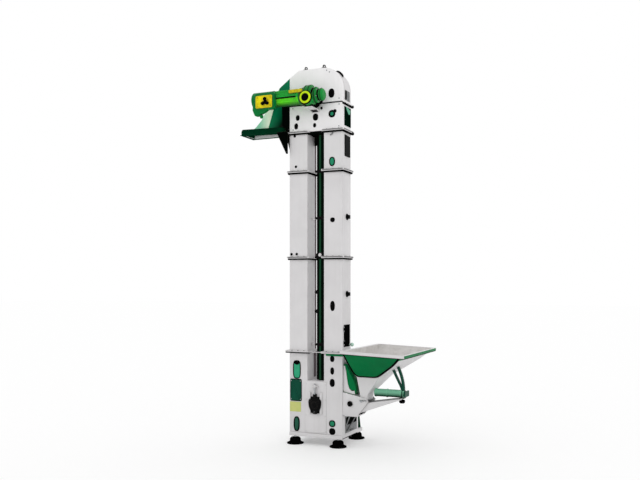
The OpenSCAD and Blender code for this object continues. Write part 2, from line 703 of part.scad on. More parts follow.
// One bucket: back against the belt at x = 0, mouth upwards, nose to the right
function bucket_side(t) = [[t, t], [bucket_out * 0.42, t], [bucket_out - t * 1.2, bucket_h * 0.62],
  [bucket_out - t * 1.2, bucket_h * 0.84 + (t > 0 ? 30 : 0)], [t, bucket_h + (t > 0 ? 30 : 0)]];
module bucket() translate([0, 0, -bucket_h / 2]) difference() {
  front_plate(leg_mid_y - bucket_w / 2, bucket_w) polygon(bucket_side(0));
  front_plate(leg_mid_y - bucket_w / 2 + bucket_wall, bucket_w - 2 * bucket_wall) polygon(bucket_side(bucket_wall));
}
run_len = head_shaft_z - tail_shaft_z;
run_count = floor((run_len - 40) / bucket_pitch);
run_start = tail_shaft_z + (run_len - (run_count - 1) * bucket_pitch) / 2;
turn_step = 52;
module turning_buckets(z, a) for (k = [-1, 0, 1])
  translate([0, 0, z]) rotate([0, a + k * turn_step, 0]) translate([belt_out, 0, 0]) bucket();
module buckets_rising() color("gray") {
  for (k = [0:run_count - 1]) translate([belt_out, 0, run_start + k * bucket_pitch]) bucket();
  turning_buckets(tail_shaft_z, 90);
}
module buckets_falling() color("gray") {
  for (k = [0:run_count - 1]) translate([-belt_out, 0, run_start + k * bucket_pitch]) rotate([0, 180, 0]) bucket();
  turning_buckets(head_shaft_z, -90);
}

// A polygon moved inwards by t on every side; its points run clockwise
function unit(v) = v / norm(v);
function inward(a, b) = let (d = unit(b - a)) [d[1], -d[0]];
function inset(p, t) = let (n = len(p)) [for (i = [0:n - 1])
  let (m = inward(p[(i + n - 1) % n], p[i]), q = inward(p[i], p[(i + 1) % n])) p[i] + (m + q) * t / (1 + m * q)];

// Discharge chute: a hood that curves down to a flanged outlet
chute_x = -side_x - chute_reach;
outlet_x1 = chute_x + outlet_len;
collar_z = outlet_z + collar_h;
chute_side = [[outlet_x1, outlet_z], [chute_x, outlet_z], [chute_x, collar_z + 2],
  [-side_x - 473, total_h - 547], [-side_x - 384, total_h - 481], [-side_x - 250, total_h - 300],
  [-side_x - 118, total_h - 161], [-side_x, total_h - 75], [-side_x, neck_z0], [outlet_x1, collar_z]];
outlet_mid_x = chute_x + outlet_len / 2;
outlet_bx = outlet_len / 2 + outlet_flange / 2;
outlet_by = leg_depth / 2 + outlet_flange / 2;
outlet_bolt_d = 11;
module chute_chamfer(t) intersection() {
  translate([chute_x + 300, front_y, collar_z])
    rotate([0, 18, 0]) rotate([0, 0, -24]) translate([-900, -400 + t, -200]) cube([900, 400, 900]);
  block([chute_x - 100, front_y - 10, collar_z - t], [-side_x, leg_back_y + 10, total_h]);
}
module discharge_chute() color("green") difference() {
  union() {
    difference() {
      front_plate(front_y, leg_depth) polygon(chute_side);
      chute_chamfer(0);
    }
    difference() {
      block([chute_x - outlet_flange, front_y - outlet_flange, outlet_z],
            [outlet_x1 + outlet_flange, leg_back_y + outlet_flange, outlet_z + flange_t]);
      block([chute_x + 1, front_y + 1, outlet_z - 1], [outlet_x1 - 1, leg_back_y - 1, outlet_z + flange_t + 1]);
    }
  }
  difference() {
    front_plate(front_y + wall, leg_depth - 2 * wall) polygon(inset(chute_side, wall));
    chute_chamfer(wall);
  }
  block([chute_x + wall, front_y + wall, outlet_z - 1], [outlet_x1 - wall, leg_back_y - wall, outlet_z + wall + 1]);
  block([-side_x - wall - 1, front_y + wall, neck_z0 + wall + 1], [-side_x + 1, leg_back_y - wall, total_h - 75 - wall - 4]);
  for (sx = [-1, 1], sy = [-1, 1]) translate([outlet_mid_x + sx * outlet_bx, leg_mid_y + sy * outlet_by, outlet_z - 1])
    cylinder(d = outlet_bolt_d, h = flange_t + 2);
}
neck_slope = (neck_z0 - collar_z) / (-side_x - outlet_x1);
function neck_floor(x) = neck_z0 + (x + side_x) * neck_slope;
gusset_drop = 228;
module chute_gussets() color("darkgreen") for (y = [front_y + 30, leg_back_y - 38]) front_plate(y, 8) polygon([
  [-side_x, head_bottom_z - gusset_drop], [-side_x, head_bottom_z - flange_t - 6],
  [-side_x - flange_out - 2, head_bottom_z - flange_t - 6],
  [-side_x - flange_out - 2, neck_floor(-side_x - flange_out - 2)],
  [outlet_x1 + outlet_flange + 2, neck_floor(outlet_x1 + outlet_flange + 2)],
  [outlet_x1 + outlet_flange + 2, head_bottom_z - 30]]);

// Gear case on the head shaft, with a ribbed end bell
drive_y = front_y - drive_off;
drive_z = head_shaft_z + drive_rise;
module along_x() rotate([0, 90, 0]) children();
module gear_case() color("green") difference() {
  union() {
    translate([0, drive_y, drive_z]) along_x() rotate_extrude() polygon([
      [0, -100], [motor_r + 10, -100], [motor_r + 10, -84], [motor_r - 4, -84], [motor_r, -62],
      [gear_r, -48], [gear_r, 54], [gear_r - 24, 62], [gear_r - 30, 70], [gear_r - 30, 104], [gear_r - 48, 110],
      [gear_r - 52, 120], [gear_r - 52, 142], [gear_r - 66, 152], [0, 152]]);
    translate([0, 0, head_shaft_z]) bar_y(58, drive_y - gear_r - 8, drive_y + gear_r - 2);
    translate([0, 0, head_shaft_z]) bar_y(40, drive_y - gear_r - 16, drive_y);
    block([-44, drive_y - 40, drive_z - gear_r - 8], [44, drive_y + 40, drive_z - gear_r + 30]);
  }
  translate([0, 0, head_shaft_z]) bar_y(head_shaft_d / 2 + run_fit, drive_y - gear_r - 6, drive_y + gear_r + 10);
}
module torque_arm() color("darkgreen") {
  z = drive_z - gear_r - 8;
  block([-44, drive_y - 40, z - 10], [44, front_y - 8, z]);
  block([-44, front_y - 8, z - 26], [44, front_y, z]);
  for (s = [-1, 1]) side_plate(s * 40 - 3, 6) polygon([[front_y - 8, z - 10], [front_y - 8, z - 24], [front_y - 60, z - 10]]);
}

// Motor body with fins along its axis
motor_x1 = -100;
motor_x0 = motor_x1 - motor_len;
cowl_x0 = motor_x0 - cowl_len;
module motor_body() color("limegreen") translate([0, drive_y, drive_z]) {
  bar_x(motor_r, motor_x0, motor_x1);
  bar_x(motor_r + 10, motor_x1 - 14, motor_x1);
  for (k = [0:fin_count - 1]) rotate([k * 360 / fin_count, 0, 0])
    block([motor_x0 + 4, -2, motor_r - 2], [motor_x1 - 20, 2, motor_r + fin_h]);
  difference() {
    bar_x(cowl_r, cowl_x0, motor_x0);
    bar_x(cowl_r - 3, cowl_x0 + 3, motor_x0 - 12);
    for (a = [0:30:330], r = [28, 50, 70]) rotate([a + r, 0, 0]) translate([cowl_x0 - 1, 0, r]) bar_x(6, 0, 6);
  }
}
module motor_fan() color("dimgray") translate([0, drive_y, drive_z]) {
  fan_x = motor_x0 - 84;
  bar_x(18, fan_x, motor_x0 - 12 - fit);
  bar_x(cowl_r - 20, fan_x + 36, fan_x + 40);
  for (k = [0:7]) rotate([k * 45, 0, 0]) block([fan_x + 4, -2, 16], [fan_x + 37, 2, cowl_r - 14]);
}

// Switch box on the front of the cowl, with a bare lid and a rotary switch
switch_x = cowl_x0 + 50 + switch_w / 2;
switch_y0 = drive_y - cowl_r - 40;
switch_z = drive_z - 33;
switch_depth = 60;
lid_t = 8;
module switch_box() color("green") {
  difference() {
    front_plate(switch_y0, switch_depth) translate([switch_x, switch_z]) round_rect(switch_w, switch_h, 18);
    translate([0, drive_y, drive_z]) bar_x(cowl_r, cowl_x0 - 1, motor_x1);
  }
  front_plate(switch_y0 + 6, 46) translate([switch_x - 40, switch_z - switch_h / 2]) {
    translate([0, -30]) round_rect(96, 60, 20);
    translate([0, -18]) round_rect(156, 36, 14);
  }
  translate([switch_x - 40, switch_y0 + 29, switch_z - switch_h / 2 - 82]) cylinder(r = 14, h = 22);
}
module switch_lid() color("yellow")
  front_plate(switch_y0 - lid_t, lid_t) translate([switch_x + 6, switch_z - 11]) round_rect(switch_w - 50, switch_h - 50, 10);
module switch_knob() color("black") translate([switch_x + 28, switch_y0 - lid_t - fit, switch_z - 17]) {
  bar_y(16, -14, 0);
  front_plate(-26, 14) for (a = [90, 210, 330]) rotate(a) {
    translate([22, 0]) circle(13);
    translate([0, -9]) square([22, 18]);
  }
}

// Hopper: a pan that narrows in two steps, a throat and a rolled rim
hop_x0 = side_x + 100;
hop_x1 = side_x + hopper_reach;
hop_y0 = -hopper_len / 2 + 10;
hop_y1 = hopper_len / 2 + 10;
rim_w = 26;
rim_lip = 22;
neck_x0 = side_x + 152;
neck_x1 = side_x + 398;
neck_y1 = 200;
throat_x0 = side_x + 186;
throat_x1 = side_x + 266;
throat_y0 = front_y + 18;
throat_y1 = leg_back_y - 18;
pan_h = hopper_top_z - throat_top_z;

// Levels of the pan: share of its height below the rim, left and right edge
pan_levels = [[0, hop_x0, hop_x1], [0.4, hop_x0 + 8, hop_x1 - 106], [0.82, hop_x0 + 26, hop_x1 - 268],
  [1, neck_x0, neck_x1]];
function pan_y0(k) = hop_y0 + k * (throat_y0 - hop_y0);
function pan_y1(k) = hop_y1 + k * (neck_y1 - hop_y1);
spout_top_z = throat_z + 63;
spout_flare = 10;
module slab(x0, y0, x1, y1, z) translate([x0, y0, z]) cube([x1 - x0, y1 - y0, 0.01]);
module pan_slab(v, t, lift = 0)
  slab(v[1] + t, pan_y0(v[0]) + t, v[2] - t, pan_y1(v[0]) - t, hopper_top_z - v[0] * pan_h + lift);
module spout_slab(t, flare, z) slab(throat_x0 + t, throat_y0 + t, throat_x1 + flare - t, throat_y1 - t, z);
rim_tilt = atan2(rim_rise, hop_x1 - hop_x0);
module along_rim()
  translate([hop_x1, 0, hopper_top_z]) rotate([0, rim_tilt, 0]) translate([-hop_x1, 0, -hopper_top_z]) children();
module pan_solid(t, e) {
  hull() {
    along_rim() pan_slab(pan_levels[0], t, e);
    pan_slab(pan_levels[1], t);
  }
  for (k = [1:2]) hull() {
    pan_slab(pan_levels[k], t);
    pan_slab(pan_levels[k + 1], t);
  }
  hull() { pan_slab(pan_levels[3], t); spout_slab(t, spout_flare, spout_top_z); }
  hull() { spout_slab(t, spout_flare, spout_top_z); spout_slab(t, 0, throat_z - e); }
}
module rim_strip() difference() {
  block([hop_x0 - rim_w, hop_y0 - rim_w, hopper_top_z - rim_lip], [hop_x1 + rim_w, hop_y1 + rim_w, hopper_top_z]);
  block([hop_x0 - rim_w + 4, hop_y0 - rim_w + 4, hopper_top_z - rim_lip - 1],
        [hop_x1 + rim_w - 4, hop_y1 + rim_w - 4, hopper_top_z - 5]);
}
module hopper_pan() color("whitesmoke") difference() {
  union() {
    pan_solid(0, 0);
    along_rim() rim_strip();
    block([throat_x0 - 6, front_y + 7, throat_z - 1], [throat_x1 + 6, leg_back_y - 7, throat_z + 4]);
  }
  pan_solid(hopper_wall, 2);
}

// Green cladding: front wall of the pan, a band on its right wall and a strap across the boot under its flange
clad_t = 5;
clad_gap = 0.1;
band_h = 74;
wall_run = throat_y0 - hop_y0;
wall_tilt = atan2(wall_run, pan_h);
wall_slant = norm([wall_run, pan_h]);
front_clad = concat(
  [for (k = [0:3]) [pan_levels[k][1], k == 0 ? rim_rise : -pan_levels[k][0] * wall_slant]],
  [for (k = [3:-1:0]) [pan_levels[k][2], -pan_levels[k][0] * wall_slant]]);
band_tilt = atan2(pan_levels[0][2] - pan_levels[1][2], pan_levels[1][0] * pan_h);
module hopper_apron() color("green") {
  difference() {
    translate([0, hop_y0, hopper_top_z]) rotate([90 + wall_tilt, 0, 0])
      translate([0, 0, clad_gap]) linear_extrude(clad_t) polygon(front_clad);
    along_rim()
      block([hop_x0 - 20, hop_y0 - 60, hopper_top_z - 5 - clad_gap], [hop_x1 + 10, hop_y0 + 60, hopper_top_z + 80]);
  }
  difference() {
    translate([hop_x1, 0, hopper_top_z]) rotate([0, band_tilt, 0])
      block([clad_gap, hop_y0 + 2, -band_h], [clad_gap + clad_t, hop_y1 - 2, 0]);
    along_rim()
      block([hop_x1 - 60, hop_y0 - 60, hopper_top_z - 5 - clad_gap], [hop_x1 + 60, hop_y1 + 60, hopper_top_z + 40]);
  }
  strap_top = boot_top_z - flange_t - 1;
  block([gap_x + 26, front_y - clad_t, strap_top - strap_h], [hop_x0 + 1, front_y, strap_top]);
  block([side_x, boot_back_y - 40, strap_top - 2 * strap_h], [hop_x0 + 1, boot_back_y - 40 + clad_t, strap_top]);
}
strap_h = 24;

// Feed box between the throat and the boot, open where the trough comes in
box_top = 580;
box_low = 333;
box_side = [[side_x, box_low + 17], [side_x, box_top], [side_x + 260, box_top - 50], [side_x + 288, box_top - 80],
  [side_x + 162, box_low], [side_x + 30, box_low]];
module feed_box() color("white") {
  for (y = [front_y + 4, leg_back_y - 7]) difference() {
    front_plate(y, 3) polygon(box_side);
    block([throat_x0 + 2, front_y, throat_z - 8], [throat_x1 + 2, front_y + 10, throat_z - 3]);
  }
  difference() {
    front_plate(front_y + 7, leg_depth - 14) polygon(box_side);
    front_plate(front_y + 6, leg_depth - 12) polygon(inset(box_side, 3));
    block([side_x + 168, front_y, box_low - 13], [side_x + 312, leg_back_y, box_top + 20]);
    block([side_x - 1, front_y, box_low + 12], [side_x + 3.5, leg_back_y, box_top - 3]);
    block([throat_x0 - 8, front_y, throat_z + 6], [throat_x1 + 22, leg_back_y, box_top]);
  }
  for (y = [front_y + 7, leg_back_y - 17])
    block([throat_x0 - 6, y, throat_z - 14], [throat_x1 + 6, y + 10, throat_z - 9]);
  front_plate(front_y - 4, 8) translate([side_x + 86, 466]) circle(15);
}
module slide_gate() color("silver") {
  block([throat_x0 + 3, front_y - 10, throat_z - 7.5], [throat_x1 + 1, leg_back_y - 9, throat_z - 3.5]);
  translate([(throat_x0 + throat_x1) / 2, 0, throat_z - 5.5]) bar_y(6, front_y - 40, front_y - 10);
  translate([(throat_x0 + throat_x1) / 2, front_y - 44, throat_z - 5.5]) sphere(14);
}

// Cowl over the inlet of the boot: rounded green cover between the boot and the throat
cowl_side = [[side_x, box_top + 2], [side_x, box_top + 280], [side_x + 14, box_top + 292], [side_x + 30, box_top + 286],
  [side_x + 128, box_top + 96], [side_x + 142, box_top + 40], [side_x + 134, box_top - 16], [side_x + 120, box_top - 21]];
module inlet_cowl() color("green") difference() {
  front_plate(front_y + 26, leg_depth - 52) polygon(cowl_side);
  front_plate(front_y + 26 + wall, leg_depth - 52 - 2 * wall) polygon(inset(cowl_side, wall));
  block([side_x - 1, front_y + 26 + wall, box_top + 6], [side_x + wall + 1, leg_back_y - 26 - wall, box_top + 276]);
}

// Feeder trough, with side walls that taper towards its drive
trough_x0 = side_x + 126;
trough_x1 = trough_x0 + trough_len;
function trough_floor(x) = 350 + (x - trough_x0) * tan(trough_slope);
trough_side = [[trough_x0, trough_floor(trough_x0)], [trough_x0, trough_floor(trough_x0) + 100],
  [side_x + 264, 484], [trough_x1, trough_floor(trough_x1) + 10], [trough_x1, trough_floor(trough_x1)]];
module feeder_trough() color("white") difference() {
  front_plate(leg_mid_y - trough_w / 2, trough_w) polygon(trough_side);
  front_plate(leg_mid_y - trough_w / 2 + 3, trough_w - 6) polygon([
    [trough_x0 - 1, trough_floor(trough_x0) + 3], [trough_x0 - 1, 700], [trough_x1 - 3, 700],
    [trough_x1 - 3, trough_floor(trough_x1 - 3) + 3]]);
}
drive_tube_z = 586;
tube_r = 40;
module feeder_drive() color("green") {
  translate([0, leg_mid_y, drive_tube_z]) {
    bar_x(tube_r, side_x + 340, trough_x1 + 10);
    for (x = [side_x + 340, side_x + 450, trough_x1 - 34]) bar_x(tube_r + 4, x, x + 16);
  }
  block([trough_x1, leg_mid_y - 44, trough_floor(trough_x1)], [trough_x1 + 12, leg_mid_y + 44, drive_tube_z + 34]);
}
module feeder_buffers() color("black") {
  for (s = [-1, 1]) translate([trough_x0 + 16, leg_mid_y + s * 70, 336])
    cylinder(r = 8, h = trough_floor(trough_x0 + 8) - 336 - fit);
  translate([0, leg_mid_y, drive_tube_z]) bar_x(20, trough_x1 + 12 + shake_gap, hanger_x);
}

// Hanger: two open side plates under the pan, joined by a cross plate
hanger_x = trough_x1 + 26;
function pan_under(x) = let (a = pan_levels[2], b = pan_levels[1])
  hopper_top_z - pan_h * (a[0] + (x - a[2]) * (b[0] - a[0]) / (b[2] - a[2]));
module hopper_hanger() color("green") {
  for (s = [-1, 1]) front_plate(leg_mid_y + s * 64 - 5, 10) difference() {
    polygon([[side_x + 530, pan_under(side_x + 530)], [side_x + 580, pan_under(side_x + 580)],
      [side_x + 677, 650], [hanger_x + 14, drive_tube_z - 26], [hanger_x, drive_tube_z - 26], [hanger_x, 640]]);
    polygon([[side_x + 556, 804], [side_x + 572, 810], [side_x + 656, 676], [side_x + 646, 672]]);
  }
  block([hanger_x, leg_mid_y - 60, drive_tube_z - 26], [hanger_x + 8, leg_mid_y + 60, drive_tube_z + 30]);
}

// Pins and lugs of the two hinged doors
lug_r = 4.7;
module door_hinges() color("silver") {
  z = door_z1 + 6 + hinge_r;
  translate([side_x + fit + hinge_r, 0, z]) bar_y(3, door_y0 - 12, door_y1 + 12);
  for (y = [door_y0 - 12, door_y1 + 4]) block([side_x, y, z - 4], [side_x + fit + hinge_r + 4, y + 8, z + 7]);
  for (zb = [insp_z0 + 30, insp_z1 - 60]) {
    translate([side_x + fit + 6, insp_y0 - 5, zb - 10]) cylinder(r = 2.5, h = 50);
    for (dz = [-9, 31]) {
      block([side_x, insp_y0 - 5 - lug_r, zb + dz], [side_x + fit + 6, insp_y0 - 5 + lug_r, zb + dz + 8]);
      translate([side_x + fit + 6, insp_y0 - 5, zb + dz]) cylinder(r = lug_r, h = 8);
    }
  }
}

base_frame();
foot_front_left();
foot_front_right();
foot_rear_left();
foot_rear_right();
foot_studs();
boot_casing();
boot_front_cover();
boot_back_cover();
boot_windows();
rear_braces();
takeup_guides();
takeup_bearings();
inlet_cowl();
takeup_screws();
tail_shaft();
tail_pulley();
cleanout_door();
door_hinges();
left_leg_lower();
left_leg_middle();
left_leg_upper();
right_leg_lower();
right_leg_middle();
right_leg_upper();
centre_mast();
mast_collars();
boot_flange_bolts();
leg_flange_bolts();
leg_fittings();
inspection_door();
inspection_knob();
head_casing();
head_side_panel();
hood();
hood_fittings();
lifting_eyes();
head_bearings();
head_shaft();
head_pulley();
belt();
buckets_rising();
buckets_falling();
discharge_chute();
chute_gussets();
gear_case();
torque_arm();
motor_body();
motor_fan();
switch_box();
switch_lid();
switch_knob();
hopper_pan();
hopper_apron();
feed_box();
slide_gate();
feeder_trough();
feeder_drive();
feeder_buffers();
hopper_hanger();
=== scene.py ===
"""Bucket elevator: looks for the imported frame, in metres, in the frame's own axes."""
import math

import bmesh
import bpy
import numpy as np
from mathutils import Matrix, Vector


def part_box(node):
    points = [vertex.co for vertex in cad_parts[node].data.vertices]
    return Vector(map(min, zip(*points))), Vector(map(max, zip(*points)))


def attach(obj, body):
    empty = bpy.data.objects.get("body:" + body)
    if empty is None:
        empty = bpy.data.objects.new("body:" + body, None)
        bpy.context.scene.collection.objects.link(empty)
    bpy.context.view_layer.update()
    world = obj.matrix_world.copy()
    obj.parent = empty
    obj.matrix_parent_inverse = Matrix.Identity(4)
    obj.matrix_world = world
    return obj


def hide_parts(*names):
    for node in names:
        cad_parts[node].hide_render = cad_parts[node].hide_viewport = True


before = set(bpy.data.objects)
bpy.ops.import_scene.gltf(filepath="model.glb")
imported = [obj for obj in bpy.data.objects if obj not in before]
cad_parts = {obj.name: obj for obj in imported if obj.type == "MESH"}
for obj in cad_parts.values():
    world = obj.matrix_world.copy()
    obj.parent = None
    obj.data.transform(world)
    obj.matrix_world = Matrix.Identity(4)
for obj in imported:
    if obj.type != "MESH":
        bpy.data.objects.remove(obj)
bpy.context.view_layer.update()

# Places that the pieces share, in metres
SIDE_X = 0.308
FRONT_Y = -0.280
LEG_BACK_Y = -0.054
BOOT_BACK_Y = 0.160
LEG_MID_Y = -0.167
SHAFT_Z = 3.640
TAIL_Z = 0.430
DRIVE_Y = -0.430
DRIVE_Z = 3.678
TUBE_Z = 0.586
GAP_X = 0.097
MAST_X = 0.017
DRIVE_AXIS = (0, DRIVE_Y, DRIVE_Z)
SHAFT_AXIS = (0, DRIVE_Y, SHAFT_Z)
ORIGIN = (0, 0, 0)
ALONG_X = (1, 0, 0)
ALONG_Y = (0, 1, 0)


# Colour and nodes

def linear(code, alpha=1.0):
    """sRGB hex code to linear light: (c + 0.055) / 1.055 to the power 2.4, or c / 12.92 when dark."""
    channels = [int(code[i:i + 2], 16) / 255 for i in (0, 2, 4)]
    return tuple(c / 12.92 if c <= 0.04045 else ((c + 0.055) / 1.055) ** 2.4 for c in channels) + (alpha,)


def add(tree, kind, values=None, links=None, **settings):
    """Adds one node: settings are its properties, values its sockets' numbers, links what feeds them."""
    node = tree.nodes.new(kind)
    for key, value in settings.items():
        setattr(node, key, value)
    for key, value in (values or {}).items():
        node.inputs[key].default_value = value
    for key, source in (links or {}).items():
        tree.links.new(source, node.inputs[key])
    return node


def blend(tree, share, below, code):
    """Colour that goes from the one below, a socket, to a hex code as the share goes from 0 to 1."""
    return add(tree, "ShaderNodeMix", {"B": linear(code)}, {"Factor": share, "A": below},
               data_type="RGBA").outputs["Result"]


def ranged(tree, source, low, high, top=1.0):
    """Runs from 0 to the top as the source goes from low to high, and stays level past both."""
    node = add(tree, "ShaderNodeMapRange", {"From Min": low, "From Max": high}, {"Value": source})
    node.inputs["To Max"].default_value = top
    return node.outputs["Result"]


def finish_of(name, base, deep, roughness, metallic=0.0, coat=0.0, ior=1.5, blotch_mm=240.0, grain_mm=3.0,
              grain_depth_mm=0.05, streak=0.0, dust_and_shade=0.0, worn=None, worn_width_mm=2.5, specular=0.5,
              painted_light_gradient=None):
    """A surface with slow colour drift, fine grain, dust-grey darkening in the corners and worn edges. base
    and deep are the hex colours that the drift runs between; blotch_mm and grain_mm are the sizes of the
    drift and of the grain, streak is how much rain-like runs darken it, dust_and_shade how far the corners
    that ambient occlusion finds are darkened towards a dust grey, partly dust and partly painted shade, and
    worn the hex colour that shows where an edge has rubbed through. painted_light_gradient is (hex colour,
    direction, start, end): painted light or shade, the colour that the surface turns to as the place along
    that direction goes from start to end, in metres."""
    material = bpy.data.materials.new(name)
    material.use_nodes = True
    tree = material.node_tree
    tree.nodes.clear()
    place = add(tree, "ShaderNodeTexCoord").outputs["Object"]
    drift = add(tree, "ShaderNodeTexNoise", {"Scale": 1000 / blotch_mm, "Detail": 4.0, "Roughness": 0.55},
                {"Vector": place})
    share = ranged(tree, drift.outputs["Fac"], 0.35, 0.68)
    colour = add(tree, "ShaderNodeMix", {"A": linear(base), "B": linear(deep)}, {"Factor": share},
                 data_type="RGBA").outputs["Result"]
    # Painted light or shade: the colour runs to the gradient's hex colour along its direction
    if painted_light_gradient:
        along = add(tree, "ShaderNodeVectorMath", {1: painted_light_gradient[1]}, {0: place}, operation="DOT_PRODUCT")
        colour = blend(tree, ranged(tree, along.outputs["Value"], *painted_light_gradient[2:]), colour, painted_light_gradient[0])
    grain = add(tree, "ShaderNodeTexNoise", {"Scale": 1000 / grain_mm, "Detail": 2.0}, {"Vector": place})
    if streak:
        long_way = add(tree, "ShaderNodeMapping", {"Scale": (24.0, 24.0, 1.6)}, {"Vector": place})
        runs = add(tree, "ShaderNodeTexNoise", {"Scale": 1.0, "Detail": 3.0},
                   {"Vector": long_way.outputs["Vector"]})
        colour = blend(tree, ranged(tree, runs.outputs["Fac"], 0.52, 0.75, streak), colour, "8d8a84")
    # Dust-grey darkening where ambient occlusion finds a corner: partly dust, partly painted shade
    if dust_and_shade:
        corner = add(tree, "ShaderNodeAmbientOcclusion", {"Distance": 0.05}, samples=6)
        colour = blend(tree, ranged(tree, corner.outputs["AO"], 0.75, 0.35, dust_and_shade), colour, "6b675f")
    rounded = add(tree, "ShaderNodeBevel", {"Radius": worn_width_mm / 1000}, samples=4)
    if worn:
        flat = add(tree, "ShaderNodeNewGeometry")
        meet = add(tree, "ShaderNodeVectorMath", links={0: rounded.outputs["Normal"],
                                                        1: flat.outputs["Normal"]}, operation="DOT_PRODUCT")
        edge = ranged(tree, meet.outputs["Value"], 0.985, 0.90)
        chipped = ranged(tree, drift.outputs["Fac"], 0.50, 0.62)
        both = add(tree, "ShaderNodeMath", links={0: edge, 1: chipped}, operation="MULTIPLY")
        colour = blend(tree, both.outputs["Value"], colour, worn)
    rough = add(tree, "ShaderNodeMapRange", {"To Min": roughness - 0.05, "To Max": roughness + 0.07},
                {"Value": drift.outputs["Fac"]})
    bump = add(tree, "ShaderNodeBump", {"Strength": 0.6, "Distance": grain_depth_mm / 1000},
               {"Height": grain.outputs["Fac"], "Normal": rounded.outputs["Normal"]})
    shader = add(tree, "ShaderNodeBsdfPrincipled", {"Metallic": metallic, "IOR": ior, "Coat Weight": coat,
                                                    "Coat Roughness": 0.08, "Specular IOR Level": specular},
                 {"Base Color": colour, "Roughness": rough.outputs["Result"],
                  "Normal": bump.outputs["Normal"]})
    add(tree, "ShaderNodeOutputMaterial", links={"Surface": shader.outputs["BSDF"]})
    return material


# Finishes, each named for the real material and how its surface was made, and for the light or shade that
# it paints where it paints any

# Powder-coated sheet steel: satin, with a fine orange peel and a little dust-grey darkening in the corners,
# partly dust and partly painted shade
WHITE_COAT = finish_of("powder_coated_steel_white", "dfddde", "d9d7d8", 0.40, grain_mm=3.5,
                       grain_depth_mm=0.06, streak=0.05, dust_and_shade=0.30, worn="b9b6b2")
# The same coat on the head and hood in a paler copy, with less dust-grey in its corners: painted light, so
# the head comes out the palest of the whites
HEAD_COAT_LIT = finish_of("powder_coated_steel_white_painted_light", "f7f5f6", "f1eff0", 0.40, grain_mm=3.5,
                      grain_depth_mm=0.06, streak=0.04, dust_and_shade=0.10, worn="b9b6b2")
# The same coat inside the hopper, scoured by the grain
WORN_COAT = finish_of("powder_coated_steel_scoured", "d6d3d1", "c4c1bd", 0.50, blotch_mm=90, grain_mm=2.0,
                      streak=0.20, dust_and_shade=0.25, worn="a9a6a1")
# Gloss enamel, sprayed and stoved: a deep, even green with a slight wave and little veil over it
GREEN_ENAMEL = finish_of("sprayed_enamel_green", "007a42", "006a3a", 0.34, coat=0.03, grain_mm=7, dust_and_shade=0.12,
                         worn="3f7d5c", specular=0.04)
HATCH_ENAMEL = finish_of("sprayed_enamel_sea_green", "044e3a", "034231", 0.30, coat=0.05, grain_mm=7,
                         dust_and_shade=0.1, worn="2f5a44", specular=0.06)
DARK_ENAMEL = finish_of("sprayed_enamel_dark_green", "043a22", "032a19", 0.34, grain_mm=7, dust_and_shade=0.1,
                        worn="2f5a44", specular=0.0)
# Deep green enamel in a narrow band, matt, down the middle of the mast: a painted highlight, a dark stripe
# that still reads as green between two black edges of painted shade.
MAST_HIGHLIGHT_ENAMEL = finish_of("painted_highlight_deep_green", "0a4428", "083a20", 0.38, grain_mm=6, dust_and_shade=0.1,
                        specular=0.1)
MAST_ENAMEL = finish_of("sprayed_enamel_night_green", "04180e", "03120a", 0.40, grain_mm=7, dust_and_shade=0.1,
                        specular=0.0)
# Chute green that turns near black towards the tower and downwards: painted shade under the drive
CHUTE_ENAMEL_SHADED = finish_of("sprayed_enamel_chute_green_painted_shade", "037c50", "026a44", 0.32, coat=0.04, grain_mm=7,
                         dust_and_shade=0.1, worn="3f7d5c", specular=0.03,
                         painted_light_gradient=("041009", (1, 0, -0.6), -2.62, -2.47))
# Painted highlight: the tube's crown pales to mint on the side that faces the lamps, front and top
TUBE_DEPTH = 0.7 * (TUBE_Z - LEG_MID_Y)
TUBE_ENAMEL_HIGHLIT = finish_of("sprayed_enamel_tube_green_painted_highlight", "02402a", "023320", 0.26, coat=0.2, grain_mm=7,
                        dust_and_shade=0.1, specular=0.1,
                        painted_light_gradient=("8fdcb6", (0, -0.7, 0.7), TUBE_DEPTH + 0.004, TUBE_DEPTH + 0.050))
# Painted reflection on the chute's folded facet: mint that pales to cream towards the tower as a painted
# highlight
CHUTE_FACET_REFLECTION = finish_of("painted_reflection_mint", "74cfa4", "5fc093", 0.30, coat=0.1, grain_mm=7, dust_and_shade=0.1,
                        painted_light_gradient=("e4f5d8", (1, 0, 0), -0.71, -0.57))
BLACK_ENAMEL = finish_of("sprayed_enamel_black", "060a08", "040605", 0.42, grain_mm=5, dust_and_shade=0.1,
                         worn="3b3936", specular=0.0)
# Oil-proof enamel over castings: bright, with the sand texture of the casting under it
DRIVE_ENAMEL = finish_of("enamelled_casting_green", "14cc44", "0ab036", 0.32, coat=0.06, grain_mm=2.2,
                         grain_depth_mm=0.18, dust_and_shade=0.35, worn="4a7a4f", specular=0.08)
# The motor's lower half in lime, darkening to deep green at its bottom: painted shade on its underside
LIME_ENAMEL_SHADED = finish_of("enamelled_casting_lime_painted_shade", "78fa24", "58e21c", 0.32, coat=0.06, grain_mm=2.2,
                        grain_depth_mm=0.15, dust_and_shade=0.25, worn="86a873", specular=0.08,
                        painted_light_gradient=("0c5a1e", (0, 0, -1), 0.052 - DRIVE_Z, 0.082 - DRIVE_Z))
GEAR_ENAMEL = finish_of("enamelled_casting_deep_green", "089238", "046e26", 0.26, coat=0.12, grain_mm=2.2,
                        grain_depth_mm=0.18, dust_and_shade=0.5, worn="4a7a4f", specular=0.1)
BOX_ENAMEL = finish_of("enamelled_casting_bottle_green", "04803a", "03662c", 0.30, coat=0.06, grain_mm=2.2,
                       grain_depth_mm=0.15, dust_and_shade=0.3, worn="4a7a4f", specular=0.06)
